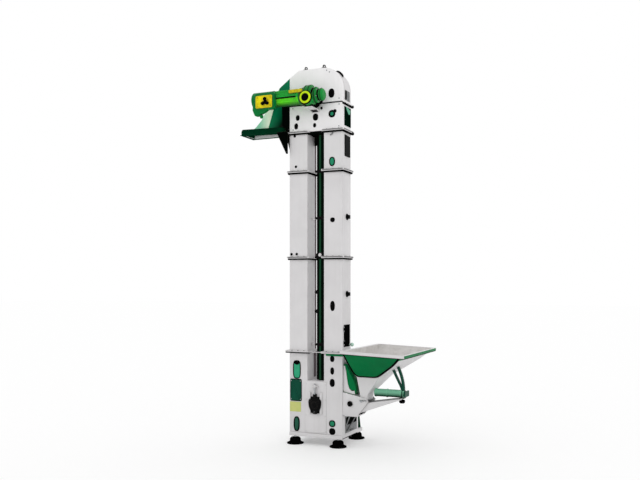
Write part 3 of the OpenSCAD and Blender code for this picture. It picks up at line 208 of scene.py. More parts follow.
# Moulded plastics: even, with a faint die texture
YELLOW_PLASTIC = finish_of("moulded_plastic_yellow", "f6e808", "d2bc00", 0.36, blotch_mm=34, grain_mm=1.2,
                           grain_depth_mm=0.03, dust_and_shade=0.2, specular=0.15)
OCHRE_PLASTIC = finish_of("moulded_plastic_ochre", "d8c818", "b0a00c", 0.40, blotch_mm=30, grain_mm=1.2,
                          grain_depth_mm=0.03, dust_and_shade=0.3, specular=0.15)
LEMON_PLASTIC = finish_of("moulded_plastic_lemon", "d6f010", "b4e00c", 0.34, blotch_mm=40, grain_mm=1.2,
                          grain_depth_mm=0.03, dust_and_shade=0.2, specular=0.15)
BLACK_PLASTIC = finish_of("moulded_plastic_black", "070808", "050505", 0.42, grain_mm=1.2,
                          grain_depth_mm=0.04, specular=0.02)
# Grey-iron castings under black stoving paint
BLACK_IRON = finish_of("painted_iron_black", "090a0a", "070707", 0.46, grain_mm=2.5, grain_depth_mm=0.2,
                       worn="3b3936", specular=0.06)
# Rubber, moulded and woven: matt
BLACK_RUBBER = finish_of("moulded_rubber_black", "080808", "060606", 0.75, grain_mm=1.5,
                         grain_depth_mm=0.08, specular=0.0)
BELT_RUBBER = finish_of("woven_rubber_belt", "1d1c1b", "131211", 0.80, grain_mm=2.0, grain_depth_mm=0.15,
                        specular=0.2)
# Mauve-grey strips, satin, on the left leg's inner face along its rear edge: painted shade where the face
# meets the gap
LEG_EDGE_SHADE = finish_of("painted_shade_mauve_grey", "6e6166", "5a4e53", 0.50, grain_mm=1.5, grain_depth_mm=0.03,
                      specular=0.1)
# Black-oxide steel: bolts and nuts, nearly black with a soft sheen
BLACK_STEEL = finish_of("black_oxide_steel", "1c1b1c", "131213", 0.42, grain_mm=1.5, grain_depth_mm=0.03,
                        specular=0.15)
# Zinc-plated steel: bright, bluish, slightly mottled
ZINC = finish_of("zinc_plated_steel", "b3b6b8", "93979a", 0.36, metallic=1.0, blotch_mm=14, grain_mm=1.5,
                 grain_depth_mm=0.03)
# Rolled sheet that was never painted: greyer and duller than the zinc
BARE_SHEET = finish_of("rolled_sheet_steel", "7d7f80", "636566", 0.48, metallic=0.6, blotch_mm=60,
                       grain_mm=2.0, grain_depth_mm=0.05, streak=0.2, dust_and_shade=0.4)
# Ground and oiled shafts
BRIGHT_STEEL = finish_of("ground_steel", "b9bbbd", "a2a4a6", 0.22, metallic=1.0, blotch_mm=30, grain_mm=1.0,
                         grain_depth_mm=0.02)
# Tinted acrylic, polished: clear and deep at once. The low window is the deepest, the tall one the palest
GREEN_LENS = finish_of("tinted_acrylic_green", "1f8f68", "0f7a54", 0.10, coat=0.12, grain_mm=8,
                       grain_depth_mm=0.03, specular=0.12)
LOW_LENS = finish_of("tinted_acrylic_deep", "0c5f47", "074a36", 0.10, coat=0.12, grain_mm=8,
                     grain_depth_mm=0.03, specular=0.2)
LIGHT_LENS = finish_of("tinted_acrylic_light", "2fa87c", "149062", 0.10, coat=0.12, grain_mm=8,
                       grain_depth_mm=0.03, specular=0.12)
SIDE_LENS = finish_of("tinted_acrylic_night_green", "03180f", "020e09", 0.12, grain_mm=8,
                      grain_depth_mm=0.03, specular=0.0)
# Painted reflection: a pale teal streak laid over the dark side panel
SIDE_PANEL_REFLECTION = finish_of("painted_reflection_teal", "4fae88", "3f9a76", 0.14, coat=0.1, grain_mm=8,
                  grain_depth_mm=0.03, specular=0.1)
# Anodised bare plate, pale yellow-green
BARE_PLATE = finish_of("anodised_plate_pale", "cfd07e", "bcc96f", 0.36, grain_mm=1.2, grain_depth_mm=0.02,
                       dust_and_shade=0.2)
# Pale green ball knob, polished thermoset
MINT_KNOB = finish_of("polished_thermoset_mint", "bde2d0", "aed8c4", 0.20, coat=0.5, grain_mm=4,
                      grain_depth_mm=0.02)

FINISHES = {
    WHITE_COAT: """base_frame boot_casing boot_front_cover boot_back_cover left_leg_lower left_leg_middle
        left_leg_upper right_leg_lower right_leg_middle right_leg_upper head_casing hood feed_box
        feeder_trough""",
    WORN_COAT: "hopper_pan",
    GREEN_ENAMEL: "inlet_cowl hopper_apron discharge_chute hopper_hanger",
    DARK_ENAMEL: "centre_mast head_side_panel chute_gussets torque_arm rear_braces",
    DRIVE_ENAMEL: "gear_case switch_box feeder_drive",
    LIME_ENAMEL_SHADED: "motor_body",
    YELLOW_PLASTIC: "switch_lid",
    BLACK_IRON: "takeup_bearings takeup_guides head_bearings mast_collars lifting_eyes",
    BLACK_PLASTIC: """foot_front_left foot_front_right foot_rear_left foot_rear_right switch_knob motor_fan
        leg_fittings hood_fittings inspection_door""",
    BLACK_RUBBER: "feeder_buffers",
    BELT_RUBBER: "belt",
    ZINC: """foot_studs takeup_screws boot_flange_bolts leg_flange_bolts door_hinges slide_gate
        cleanout_door buckets_rising buckets_falling""",
    BRIGHT_STEEL: "tail_shaft tail_pulley head_shaft head_pulley",
    GREEN_LENS: "boot_windows",
    MINT_KNOB: "inspection_knob",
}
for material, names in FINISHES.items():
    for name in names.split():
        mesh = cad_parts[name].data
        mesh.materials.clear()
        mesh.materials.append(material)


# Shapes, each one worked out as whole arrays of points

# Axes of a facing: along, up and outward
FRONT = ((1, 0, 0), (0, 0, 1), (0, -1, 0))
BACK = ((-1, 0, 0), (0, 0, 1), (0, 1, 0))
RIGHT = ((0, 1, 0), (0, 0, 1), (1, 0, 0))
LEFT = ((0, -1, 0), (0, 0, 1), (-1, 0, 0))
TOP = ((1, 0, 0), (0, 1, 0), (0, 0, 1))
UNDER = ((1, 0, 0), (0, -1, 0), (0, 0, -1))


def put(local, origin, facing):
    """Points given as (along, up, outward), set at an origin: origin + along A + up B + outward C."""
    return np.asarray(origin, float) + np.asarray(local, float) @ np.array(facing, float)


def rounded(corners, radius, steps=5, closed=True):
    """Softened corners: each corner P becomes (1-s)^2 A + 2 s (1-s) P + s^2 B, with A and B a radius away
    along its two sides, at most 0.49 of a side."""
    p = np.asarray(corners, float)
    r = np.array(np.broadcast_to(np.asarray(radius, float), len(p)))
    if not closed:
        r[[0, -1]] = 0
    ends = []
    for turn in (1, -1):
        way = np.roll(p, turn, 0) - p
        far = np.maximum(np.linalg.norm(way, axis=1), 1e-9)
        ends.append(p + way * np.minimum(r / far, 0.49)[:, None])
    s = np.linspace(0, 1, steps + 1)[:, None, None]
    curve = (1 - s) ** 2 * ends[0] + 2 * s * (1 - s) * p + s ** 2 * ends[1]
    line = curve.transpose(1, 0, 2).reshape(-1, p.shape[1])
    step = np.linalg.norm(line - np.roll(line, 1, 0), axis=1)
    step[0] = step[0] if closed else 1
    return line[step > 1e-7]


def ellipse(width, height, power=2.0, around=48):
    """Super-ellipse: x = w/2 cos a |cos a|^(2/p - 1), and the same with sin a for its height."""
    a = np.linspace(0, 2 * np.pi, around, endpoint=False) + np.pi / around
    c, s = np.cos(a), np.sin(a)
    return np.stack([width / 2 * c * np.abs(c) ** (2 / power - 1),
                     height / 2 * s * np.abs(s) ** (2 / power - 1)], 1)


def slab(width, height, radius, steps=5):
    """Rectangle about the middle with softened corners, counter-clockwise."""
    x, y = width / 2, height / 2
    return rounded([(-x, -y), (x, -y), (x, y), (-x, y)], radius, steps)


def skin(rings, ends=True, loop=False):
    """Quads (i, j), (i, j+1), (i+1, j+1), (i+1, j) over closed rings of points. Both ends are covered, or
    the last ring is joined to the first."""
    count, around = rings.shape[:2]
    i, j = np.meshgrid(np.arange(count if loop else count - 1), np.arange(around), indexing="ij")
    k, m = (j + 1) % around, (i + 1) % count
    faces = [np.stack([i * around + j, i * around + k, m * around + k, m * around + j], -1).reshape(-1, 4)]
    if ends:
        faces += [np.arange(around)[None, :], np.arange((count - 1) * around, count * around)[None, :]]
    return rings.reshape(-1, 3), faces


def stacked(outline, levels, origin, facing):
    """Plate of rings: ring k is the outline moved inset_k inwards along its normals, shrunk to share_k of
    that about its middle, and lifted to height_k. Each level is (inset, share, height); a last ring keeps
    the top flat."""
    flat = np.asarray(outline, float)
    levels = np.vstack([levels, np.array(levels[-1]) * (1, 0.95, 1)])
    middle = (flat.max(0) + flat.min(0)) / 2
    along = np.roll(flat, -1, 0) - np.roll(flat, 1, 0)
    inward = np.stack([-along[:, 1], along[:, 0]], 1) / np.linalg.norm(along, axis=1)[:, None]
    inset, share, height = np.array(levels, float).T[:, :, None, None]
    face = middle + share * (flat + inset * inward - middle)
    return skin(put(np.concatenate([face, np.broadcast_to(height, face[..., :1].shape)], -1), origin,
                    facing))


def lip(height, radius, base=0.0, steps=4):
    """Levels of a rounded edge: up from the base, then inset = r (1 - cos t), height = h - r (1 - sin
    t)."""
    t = np.linspace(0, np.pi / 2, steps + 1)
    arc = np.stack([radius * (1 - np.cos(t)), np.ones_like(t), height - radius * (1 - np.sin(t))], 1)
    return np.vstack([[0, 1, base], arc])


def dome(inset, base, crown, least=0.05, steps=7):
    """Levels of a dome over an outline: share = cos t, height = base + crown sin t."""
    t = np.linspace(0, math.acos(least), steps)
    return np.stack([np.full_like(t, inset), np.cos(t), base + crown * np.sin(t)], 1)


def turned(profile, origin, facing, around=48, hollow=False):
    """Profile of (radius, height) spun about the outward axis: (r cos a, r sin a, h). A hollow one is a
    closed profile, which meets its own start."""
    p = np.asarray(profile, float)
    a = np.linspace(0, 2 * np.pi, around, endpoint=False)
    rings = np.stack([p[:, :1] * np.cos(a), p[:, :1] * np.sin(a), p[:, 1:] + 0 * a], -1)
    return skin(put(rings, origin, facing), ends=not hollow, loop=hollow)


def swept(path, section, up=(0, 0, 1), closed=False):
    """Section carried along a path: point = path + u across + v over; across = way x up, over = across x
    way."""
    path, section = np.asarray(path, float), np.asarray(section, float)
    way = np.roll(path, -1, 0) - np.roll(path, 1, 0) if closed else np.gradient(path, axis=0)
    across = np.cross(way, up)
    across /= np.linalg.norm(across, axis=1)[:, None]
    over = np.cross(across, way)
    over /= np.linalg.norm(over, axis=1)[:, None]
    rings = path[:, None] + section[None, :, :1] * across[:, None] + section[None, :, 1:] * over[:, None]
    return skin(rings, ends=not closed, loop=closed)


def pipe(radius, around=16):
    """Round section: (r cos a, r sin a)."""
    return ellipse(2 * radius, 2 * radius, around=around)


def repeated(part, places):
    """Copies of a part, each moved by one place: point + place."""
    points, faces = part
    places = np.asarray(places, float).reshape(-1, 3)
    starts = np.arange(len(places)) * len(points)
    return ((places[:, None] + points).reshape(-1, 3),
            [(block[None] + starts[:, None, None]).reshape(-1, block.shape[1]) for block in faces])


def hexagon_head(width, height, around=24):
    """Hexagon head on a washer, upwards: the flats lie at w/2 / cos(a - nearest 60 degrees), and a cone
    of 30 degrees from the top circle cuts the six corners down."""
    a = np.linspace(0, 2 * np.pi, around, endpoint=False)
    hexagon = width / 2 / np.cos((a + np.pi / 6) % (np.pi / 3) - np.pi / 6)
    top = 0.47 * width
    radii = np.stack([0 * a + 0.72 * width, 0 * a + 0.72 * width, 0 * a + 0.69 * width, hexagon, hexagon,
                      0 * a + top, 0 * a + 0.6 * top, 0 * a + 0.55 * top])
    cut = height - np.maximum(hexagon - top, 0) * math.tan(math.pi / 6)
    washer = 0.14 * height
    heights = np.stack([0 * a, 0 * a + 0.8 * washer, 0 * a + washer, 0 * a + washer, cut, 0 * a + height,
                        0 * a + height, 0 * a + 0.96 * height])
    return skin(np.stack([radii * np.cos(a), radii * np.sin(a), heights], -1))


def faced(part, facing):
    """A part modelled upwards, turned to look along a facing."""
    return put(part[0], (0, 0, 0), facing), part[1]


def piece(name, parts, finish, body="tower", covers="", sharp=30):
    """One object out of several shells, its faces turned outward and smooth up to the sharp angle."""
    starts = np.cumsum([0] + [len(points) for points, _ in parts[:-1]])
    points = np.vstack([points for points, _ in parts]).astype(np.float32)
    faces = [block + start for start, (_, blocks) in zip(starts, parts) for block in blocks]
    sizes = np.concatenate([np.full(len(block), block.shape[1]) for block in faces])
    corners = np.concatenate([block.ravel() for block in faces]).astype(np.int32)
    mesh = bpy.data.meshes.new(name)
    mesh.vertices.add(len(points))
    mesh.vertices.foreach_set("co", points.ravel())
    mesh.loops.add(len(corners))
    mesh.loops.foreach_set("vertex_index", corners)
    mesh.polygons.add(len(sizes))
    mesh.polygons.foreach_set("loop_start", np.concatenate([[0], np.cumsum(sizes)[:-1]]).astype(np.int32))
    mesh.update(calc_edges=True)
    return finished(name, mesh, finish, body, covers, sharp)


def finished(name, mesh, finish, body, covers, sharp):
    """The object of a mesh: outward faces, smooth shading, its finish, its body and the nodes it stands
    for."""
    work = bmesh.new()
    work.from_mesh(mesh)
    bmesh.ops.recalc_face_normals(work, faces=work.faces)
    work.to_mesh(mesh)
    work.free()
    mesh.shade_smooth()
    if sharp:
        mesh.set_sharp_from_angle(angle=math.radians(sharp))
    mesh.materials.clear()
    mesh.materials.append(finish)
    thing = bpy.data.objects.new(name, mesh)
    bpy.context.scene.collection.objects.link(thing)
    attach(thing, body)
    if covers:
        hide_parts(*covers.split())
    return thing


def softened(node, finish, body="tower", width_mm=0.8):
    """The node's own shape with its edges rounded: points merged, flat triangles joined, then bevelled."""
    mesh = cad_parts[node].data.copy()
    work = bmesh.new()
    work.from_mesh(mesh)
    bmesh.ops.remove_doubles(work, verts=work.verts, dist=1e-5)
    bmesh.ops.dissolve_limit(work, angle_limit=math.radians(1.5), verts=work.verts, edges=work.edges)
    work.to_mesh(mesh)
    work.free()
    thing = finished(node + "_soft", mesh, finish, body, node, 0)
    bevel = thing.modifiers.new("rounded_edges", "BEVEL")
    bevel.width = width_mm / 1000
    bevel.segments = 2
    bevel.limit_method = "ANGLE"
    bevel.angle_limit = math.radians(35)
    bevel.use_clamp_overlap = False
    bevel.harden_normals = True
    return thing


def plate(name, outline, height, radius, origin, facing, finish, body="tower"):
    """An object of one flat plate with a rounded edge."""
    return piece(name, [stacked(outline, lip(height, radius), origin, facing)], finish, body)


def solids(node):
    """Boxes of a node's separate solids: each point takes the lowest number met in its triangles until
    none changes."""
    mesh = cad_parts[node].data
    mesh.calc_loop_triangles()
    spots = np.empty(3 * len(mesh.vertices), np.float32)
    mesh.vertices.foreach_get("co", spots)
    triangles = np.empty(3 * len(mesh.loop_triangles), np.int32)
    mesh.loop_triangles.foreach_get("vertices", triangles)
    spots, same = np.unique(np.round(spots.reshape(-1, 3), 5), axis=0, return_inverse=True)
    triangles = same.ravel()[triangles].reshape(-1, 3)
    label = np.arange(len(spots))
    while True:
        lower = label.copy()
        np.minimum.at(lower, triangles.ravel(), np.repeat(label[triangles].min(1), 3))
        lower = lower[lower]
        if (lower == label).all():
            break
        label = lower
    return [(spots[label == k].min(0), spots[label == k].max(0)) for k in np.unique(label)]


def repainted(thing, finish, chosen):
    """Gives another finish to the faces where chosen(middles, normals) holds."""
    faces = thing.data.polygons
    middles, normals = np.empty(3 * len(faces), np.float32), np.empty(3 * len(faces), np.float32)
    faces.foreach_get("center", middles)
    faces.foreach_get("normal", normals)
    thing.data.materials.append(finish)
    picked = np.empty(len(faces), np.int32)
    faces.foreach_get("material_index", picked)
    picked[chosen(middles.reshape(-1, 3), normals.reshape(-1, 3))] = len(thing.data.materials) - 1
    faces.foreach_set("material_index", picked)


# Sheet-metal bodies: the nodes' own shapes with softened edges

for node in ("base_frame boot_casing boot_front_cover boot_back_cover left_leg_lower left_leg_middle "
             "left_leg_upper right_leg_lower right_leg_middle right_leg_upper feed_box").split():
    softened(node, WHITE_COAT)
# Head and hood in the paler copy of the white coat: painted light
softened("head_casing", HEAD_COAT_LIT)
softened("hood", HEAD_COAT_LIT)
softened("feeder_trough", WHITE_COAT, "feeder")
softened("inlet_cowl", GREEN_ENAMEL)
cowl_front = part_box("inlet_cowl")[0][1]
border = rounded([(0.3090, 0.587), (0.4400, 0.561), (0.4335, 0.604), (0.4220, 0.596), (0.3980, 0.600),
                  (0.3760, 0.622), (0.3590, 0.668), (0.3490, 0.735), (0.3400, 0.800), (0.3260, 0.856),
                  (0.3090, 0.858)], 0.004, 3)
plate("cowl_border", border, 0.0030, 0.0010, (0, cowl_front, 0), FRONT, WHITE_COAT)
softened("head_side_panel", SIDE_LENS, width_mm=1.5)
softened("chute_gussets", BLACK_ENAMEL)
softened("torque_arm", WHITE_COAT)
softened("takeup_guides", WHITE_COAT)


# Plugs, windows and plates

def seat(low, high):
    """Where a flat fitting sits: the middle of its back face, its facing, its width and its height."""
    size, middle = high - low, (low + high) / 2
    if size[0] < size[1]:
        return (low[0], middle[1], middle[2]), RIGHT, size[1], size[2]
    return (middle[0], high[1], middle[2]), FRONT, size[0], size[2]


def plug(low, high):
    """Blanking plug: a thin flange, a step and a dome with a dished middle."""
    origin, facing, width, height = seat(low, high)
    levels = np.vstack([lip(0.0022, 0.0012), [[0.0040, 1, 0.0024], [0.0046, 1, 0.0030],
                                              [0.0049, 1, 0.0046]], dome(0.0054, 0.0050, 0.0024, 0.5),
                        [[0.0054, 0.46, 0.0069], [0.0054, 0.42, 0.0062], [0.0054, 0.04, 0.0060]]])
    return stacked(ellipse(width, height, 2.3), levels, origin, facing)


def window(low, high, power=2.3, rim_width=0.0096):
    """Sight window: a raised rim round a shallow well, and a domed lens that fills the well."""
    origin, facing, width, height = seat(low, high)
    outline = ellipse(width, height, power, 64)
    rim = np.vstack([lip(0.0058, 0.0026), [[rim_width - 0.0021, 1, 0.0058], [rim_width - 0.0008, 1, 0.0046],
                                           [rim_width - 0.0004, 1, 0.0012]]])
    return (stacked(outline, rim, origin, facing),
            stacked(outline, np.vstack([[rim_width, 1, 0.0004], dome(rim_width, 0.0022, 0.0046)]), origin,
                    facing))


def is_glass(low, high):
    """The fittings with a green lens: one on the head, one high on the right leg, one low on the boot."""
    x, z = (low[0] + high[0]) / 2, (low[2] + high[2]) / 2
    return low[0] < SIDE_X - 0.01 and x > 0.15 and (2.9 < z < 3.6 or 0.2 < z < 0.3)


def is_on_leg(low):
    """The fittings whose lowest corner lies between the boot and the head."""
    return 1.1 < low[2] < 3.2


def leg_plug(low, high):
    """Plug of a leg, drawn a little wider than its hole, and the lower ones drawn tall as latches."""
    tall = 1.9 if high[2] < LATCH_TOP_Z else 0.9
    wider = np.array([0.0, 1.0, 0.0] if high[0] - low[0] < high[1] - low[1] else [1.0, 0.0, 0.0])
    spare = (high - low) * (0.24 * wider + (0, 0, (tall - 1) / 2))
    return low - spare, high + spare


LATCH_TOP_Z = 1.6
PANE_HEIGHT = 0.12
HEAD_Z = 3.4
fittings = [box for node in ("hood_fittings", "leg_fittings", "boot_windows") for box in solids(node)]
lower_lens, hatch, upper_lens = sorted((box for box in fittings if box[1][0] < 0 and box[1][2] < 1),
                                       key=lambda box: box[0][2])
side_pane = [box for box in fittings if box[0][0] > 0 and box[1][2] - box[0][2] > PANE_HEIGHT][0]
plugs = [box for box in fittings if box[1][2] > 1 or box[0][0] > 0]
plugs = [box for box in plugs if not is_glass(*box) and box[1][2] - box[0][2] < PANE_HEIGHT]
plugs = [leg_plug(*box) if is_on_leg(box[0]) else box for box in plugs]
side_plugs = [box for box in plugs if is_on_leg(box[0]) and box[1][0] > SIDE_X + 0.002]
side_latches = [(low + high) / 2 for low, high in side_plugs]
latch_parts = [stacked(slab(0.052, 0.094 if at[2] < LATCH_TOP_Z else 0.042, 0.014),
                       lip(0.030, 0.006, 0.004), (SIDE_X, at[1], at[2]), RIGHT) for at in side_latches]
piece("side_latches", latch_parts, BLACK_PLASTIC)
piece("blanking_plugs", [plug(*box) for box in plugs], BLACK_PLASTIC,
      covers="hood_fittings leg_fittings boot_windows")
glasses = [window(*box, rim_width=0.0200 if box[0][2] > HEAD_Z else 0.0110) for box in fittings
           if is_glass(*box)]
windows = [window(*lower_lens, 2.6, 0.013), window(*upper_lens, 3.4, 0.010)]
piece("window_rims", [rim for rim, _ in glasses + windows], BLACK_RUBBER)
piece("window_lenses", [lens for _, lens in glasses], GREEN_LENS)
piece("window_lens_low", [windows[0][1]], LOW_LENS)
piece("window_lens_light", [windows[1][1]], LIGHT_LENS)

origin, facing, width, height = seat(*upper_lens)
cap_levels = np.vstack([lip(0.004, 0.002), dome(0.004, 0.0040, 0.0028)])
cap = stacked(ellipse(0.62 * width, 0.24 * height, 2.2), cap_levels,
              np.array(origin) + (0, -0.0015, 0.36 * height), facing)
piece("window_cap", [cap], BLACK_RUBBER)

origin, facing, width, height = seat(*hatch)
hatch_levels = np.vstack([lip(0.0055, 0.0020), [[0.0090, 1, 0.0055], [0.0102, 1, 0.0042],
                                                [0.0140, 1, 0.0042], [0.0150, 1, 0.0056],
                                                [0.0152, 0.98, 0.0066]]])
hatch_screw = turned([(0.0056, 0), (0.0056, 0.0012), (0.0044, 0.0028), (0.0018, 0.0032), (0.0016, 0.0018),
                      (0.0003, 0.0018)], ORIGIN, FRONT, 16)
half_x, half_z = width / 2 - 0.0135, height / 2 - 0.0135
screw_spots = [(origin[0] + sx * half_x, origin[1] - 0.0040, origin[2] + sz * half_z)
               for sx in (-1, 1) for sz in (-1, 1)]
plate("hatch_seal", slab(width - 0.001, height + 0.016, 0.020), 0.0040, 0.0015, origin, facing,
      BLACK_RUBBER)
piece("column_hatch", [stacked(slab(width - 0.014, height, 0.016), hatch_levels, origin, facing)],
      HATCH_ENAMEL)
piece("column_hatch_screws", [repeated(hatch_screw, screw_spots)], ZINC)
plate("bare_plate", slab(0.132, 0.106, 0.008), 0.0022, 0.0008, (-0.239, FRONT_Y, 0.397), FRONT, BARE_PLATE)

low, high = side_pane
pane = rounded([(low[1], low[2]), (high[1], low[2]), (high[1], high[2] - 0.008), (low[1], high[2])], 0.012)
pane_levels = np.vstack([lip(0.0055, 0.0018), [[0.009, 1, 0.0055], [0.010, 1, 0.0042]]])
piece("side_pane", [stacked(pane, pane_levels, (SIDE_X, 0, 0), RIGHT)], BLACK_PLASTIC)
# The pale streak on the head's side panel: painted reflection
panel_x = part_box("head_side_panel")[1][0]
reflection_streak = rounded([(-0.200, 3.585), (-0.156, 3.580), (-0.078, 3.560), (-0.088, 3.520), (-0.125, 3.511),
                 (-0.170, 3.546)], 0.010)
plate("side_panel_painted_reflection", reflection_streak, 0.0016, 0.0008, (panel_x - 0.0004, 0, 0), RIGHT, SIDE_PANEL_REFLECTION)


# Flange joints: bolts, nuts, black strips set low under the flanges that paint their shadow, and the lips
# round them

def joint_hardware(node):
    """Hexagon head above and nut below each bolt of a joint, both sized from the bolt's own box."""
    boxes = np.array([np.concatenate(box) for box in solids(node)])
    across = float(np.median(boxes[:, 3] - boxes[:, 0])) * 0.866
    tall = across / 0.866 / 1.9 * 0.65
    middle = (boxes[:, :2] + boxes[:, 3:5]) / 2
    head = hexagon_head(across, tall)
    heads = repeated(head, np.column_stack([middle, boxes[:, 5] - tall]))
    nuts = repeated(faced(head, UNDER), np.column_stack([middle, boxes[:, 2] + tall + 0.004]))
    end = turned([(0.34 * across, -0.004), (0.34 * across, 0.0026), (0.28 * across, 0.0036),
                  (0.01 * across, 0.0036)], ORIGIN, UNDER, 12)
    ends = repeated(end, np.column_stack([middle, boxes[:, 2] + 0.004]))
    piece(node + "_hardware", [heads, nuts, ends], BLACK_STEEL, covers=node)


def leg_ring(side, inset, out, z, radius, steps):
    """Closed path round a leg: an inset into the gap between the legs, and a distance outside the walls."""
    inner, outer = side * (GAP_X - inset), side * (SIDE_X + out)
    front, rear = FRONT_Y - out, LEG_BACK_Y + out
    return rounded([(inner, front, z), (outer, front, z), (outer, rear, z), (inner, rear, z)], radius,
                   steps)


joint_hardware("boot_flange_bolts")
joint_hardware("leg_flange_bolts")
flange_shadows, lips = [], []
for z in (0.993, 1.999, 2.918, 3.338):
    out, drop, tall, reach = (0.0052, 0.0125, 0.0130, 0.0343) if z < 1 else (0.0098, 0.0195, 0.0160, 0.0223)
    for side in (-1, 1):
        # Black rubber strips below each flange, wide and low: painted shadow of the flange
        flange_shadows.append(swept(leg_ring(side, out, out, z - drop, 0.006, 4),
                           slab(2 * out - 0.0002, tall, 0.002, 3), closed=True))
        lips.append(swept(leg_ring(side, 0.0225, reach, z - 0.002, 0.010, 5),
                          slab(0.0034, 0.020, 0.0014, 3), closed=True))
piece("flange_shadow_strips", flange_shadows, BLACK_RUBBER)
piece("flange_lips", lips, WHITE_COAT)
strap = np.array([(x, FRONT_Y - 0.0375, 0.980) for x in (-0.338, -0.200, -0.052)])
rail_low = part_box("base_frame")[0][2]
skirt = np.array([(SIDE_X - 0.0012, y, rail_low + 0.0045)
                  for y in (FRONT_Y + 0.004, 0.0, BOOT_BACK_Y - 0.02)])
piece("base_skirt", [swept(skirt, slab(0.003, 0.009, 0.001, 3))], BLACK_RUBBER)
piece("boot_strap", [swept(strap, slab(0.0030, 0.011, 0.001, 3))], BLACK_RUBBER)
seam = rounded([(-SIDE_X - 0.001, LEG_BACK_Y, 3.624), (-SIDE_X - 0.001, FRONT_Y - 0.001, 3.624),
                (SIDE_X + 0.0008, FRONT_Y - 0.001, 3.624)], 0.004, 3, closed=False)
piece("hood_seam", [swept(seam, slab(0.003, 0.0120, 0.001, 3))], BLACK_RUBBER)
edge = np.array([(SIDE_X + 0.004, y, 3.6125) for y in (FRONT_Y - 0.004, -0.12, LEG_BACK_Y + 0.010)])
latch = turned([(0.014, 0), (0.014, 0.006), (0.017, 0.010), (0.017, 0.020), (0.013, 0.026),
                (0.0005, 0.028)], ORIGIN, RIGHT, 28)
latches = repeated(latch, [(SIDE_X, LEG_BACK_Y + 0.016, 3.6115),
                           (SIDE_X + 0.006, LEG_BACK_Y + 0.008, 3.322)])
piece("side_seals", [swept(edge, slab(0.008, 0.024, 0.003)),
                     swept(edge - (0, 0, 0.291), slab(0.010, 0.012, 0.003)), latches], BLACK_RUBBER)
# Strips of painted shade down the rear edge of the left leg's inner face
low_edge = np.array([(-0.0965, LEG_BACK_Y - 0.034, z) for z in (0.708, 0.976)])
rear_edges = [np.array([(-0.0965, LEG_BACK_Y - 0.018, z) for z in ends])
              for ends in ((1.012, 1.976), (2.012, 2.896), (2.931, 3.318))]
piece("leg_rear_edge_shades", [swept(low_edge, slab(0.004, 0.062, 0.0015, 3), up=ALONG_Y)]
      + [swept(line, slab(0.004, 0.030, 0.0015, 3), up=ALONG_Y) for line in rear_edges], LEG_EDGE_SHADE)


# Mast: a dark tube with a green band of painted highlight, two thin black tubes beside it that paint its
# shaded edges, and the clips that hold them

# Black tubes along both edges of the mast: painted shade on its sides
edge_shades = [swept(np.array([(MAST_X + x, -0.188, z) for z in (0.690, 1.2, 2.0, 2.8, 3.332)]), pipe(0.0085),
               up=ALONG_Y) for x in (-0.036, 0.034)]
piece("mast_edge_shades", edge_shades, BLACK_RUBBER)
# Green strip down the mast's front: painted highlight
mast_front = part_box("centre_mast")[0][1]
strip = np.array([(MAST_X, mast_front - 0.0010, z) for z in (0.690, 1.2, 2.0, 2.8, 3.332)])
piece("mast_painted_highlight", [swept(strip, slab(0.020, 0.005, 0.002, 3), up=ALONG_Y)], MAST_HIGHLIGHT_ENAMEL)
softened("centre_mast", MAST_ENAMEL)
softened("mast_collars", WHITE_COAT, width_mm=1.0)
ring = turned([(0.0365, -0.015), (0.0500, -0.015), (0.0520, -0.013), (0.0520, 0.013), (0.0500, 0.015),
               (0.0365, 0.015)], ORIGIN, TOP, 48)
ears = stacked(slab(0.118, 0.024, 0.008), lip(0.020, 0.003), (0, 0.006, 0), FRONT)
spots = [(MAST_X, LEG_MID_Y + 0.002, z) for z in (1.066, 1.999, 2.418, 2.918)]
lug = stacked(ellipse(0.050, 0.040, 2.2, 24), lip(0.026, 0.006), ORIGIN, FRONT)
lug_spots = [(-0.024, LEG_MID_Y - 0.01, 1.627), (-0.026, LEG_MID_Y - 0.01, 1.421)]
piece("mast_clips", [repeated(ring, spots), repeated(ears, np.array(spots) - (0, 0.034, 0)),
                     repeated(lug, lug_spots)], BLACK_IRON)
plate("mast_joint", ellipse(0.092, 0.070, 2.6), 0.020, 0.006, (MAST_X, mast_front + 0.004, 2.016), FRONT,
      BLACK_IRON)
piece("mast_button", [turned([(0.019, 0), (0.019, 0.004), (0.014, 0.009), (0.0005, 0.011)],
                             (0.022, mast_front - 0.016, 2.024), FRONT, 28)], WHITE_COAT)
# Black plates under the head between the legs: painted shadow on the casing's underside
piece("head_underside_painted_shadow", [
    stacked(slab(0.192, 0.030, 0.003), lip(0.204, 0.003), (0, -0.062, 3.3225), FRONT),
    stacked(slab(0.192, 0.124, 0.003), lip(0.012, 0.003), (0, -0.090, 3.2770), FRONT)], BLACK_ENAMEL)


# Take-up bearing: a slide plate, a shield-shaped housing with a knob on top and a lobe below, and a
# grease nipple

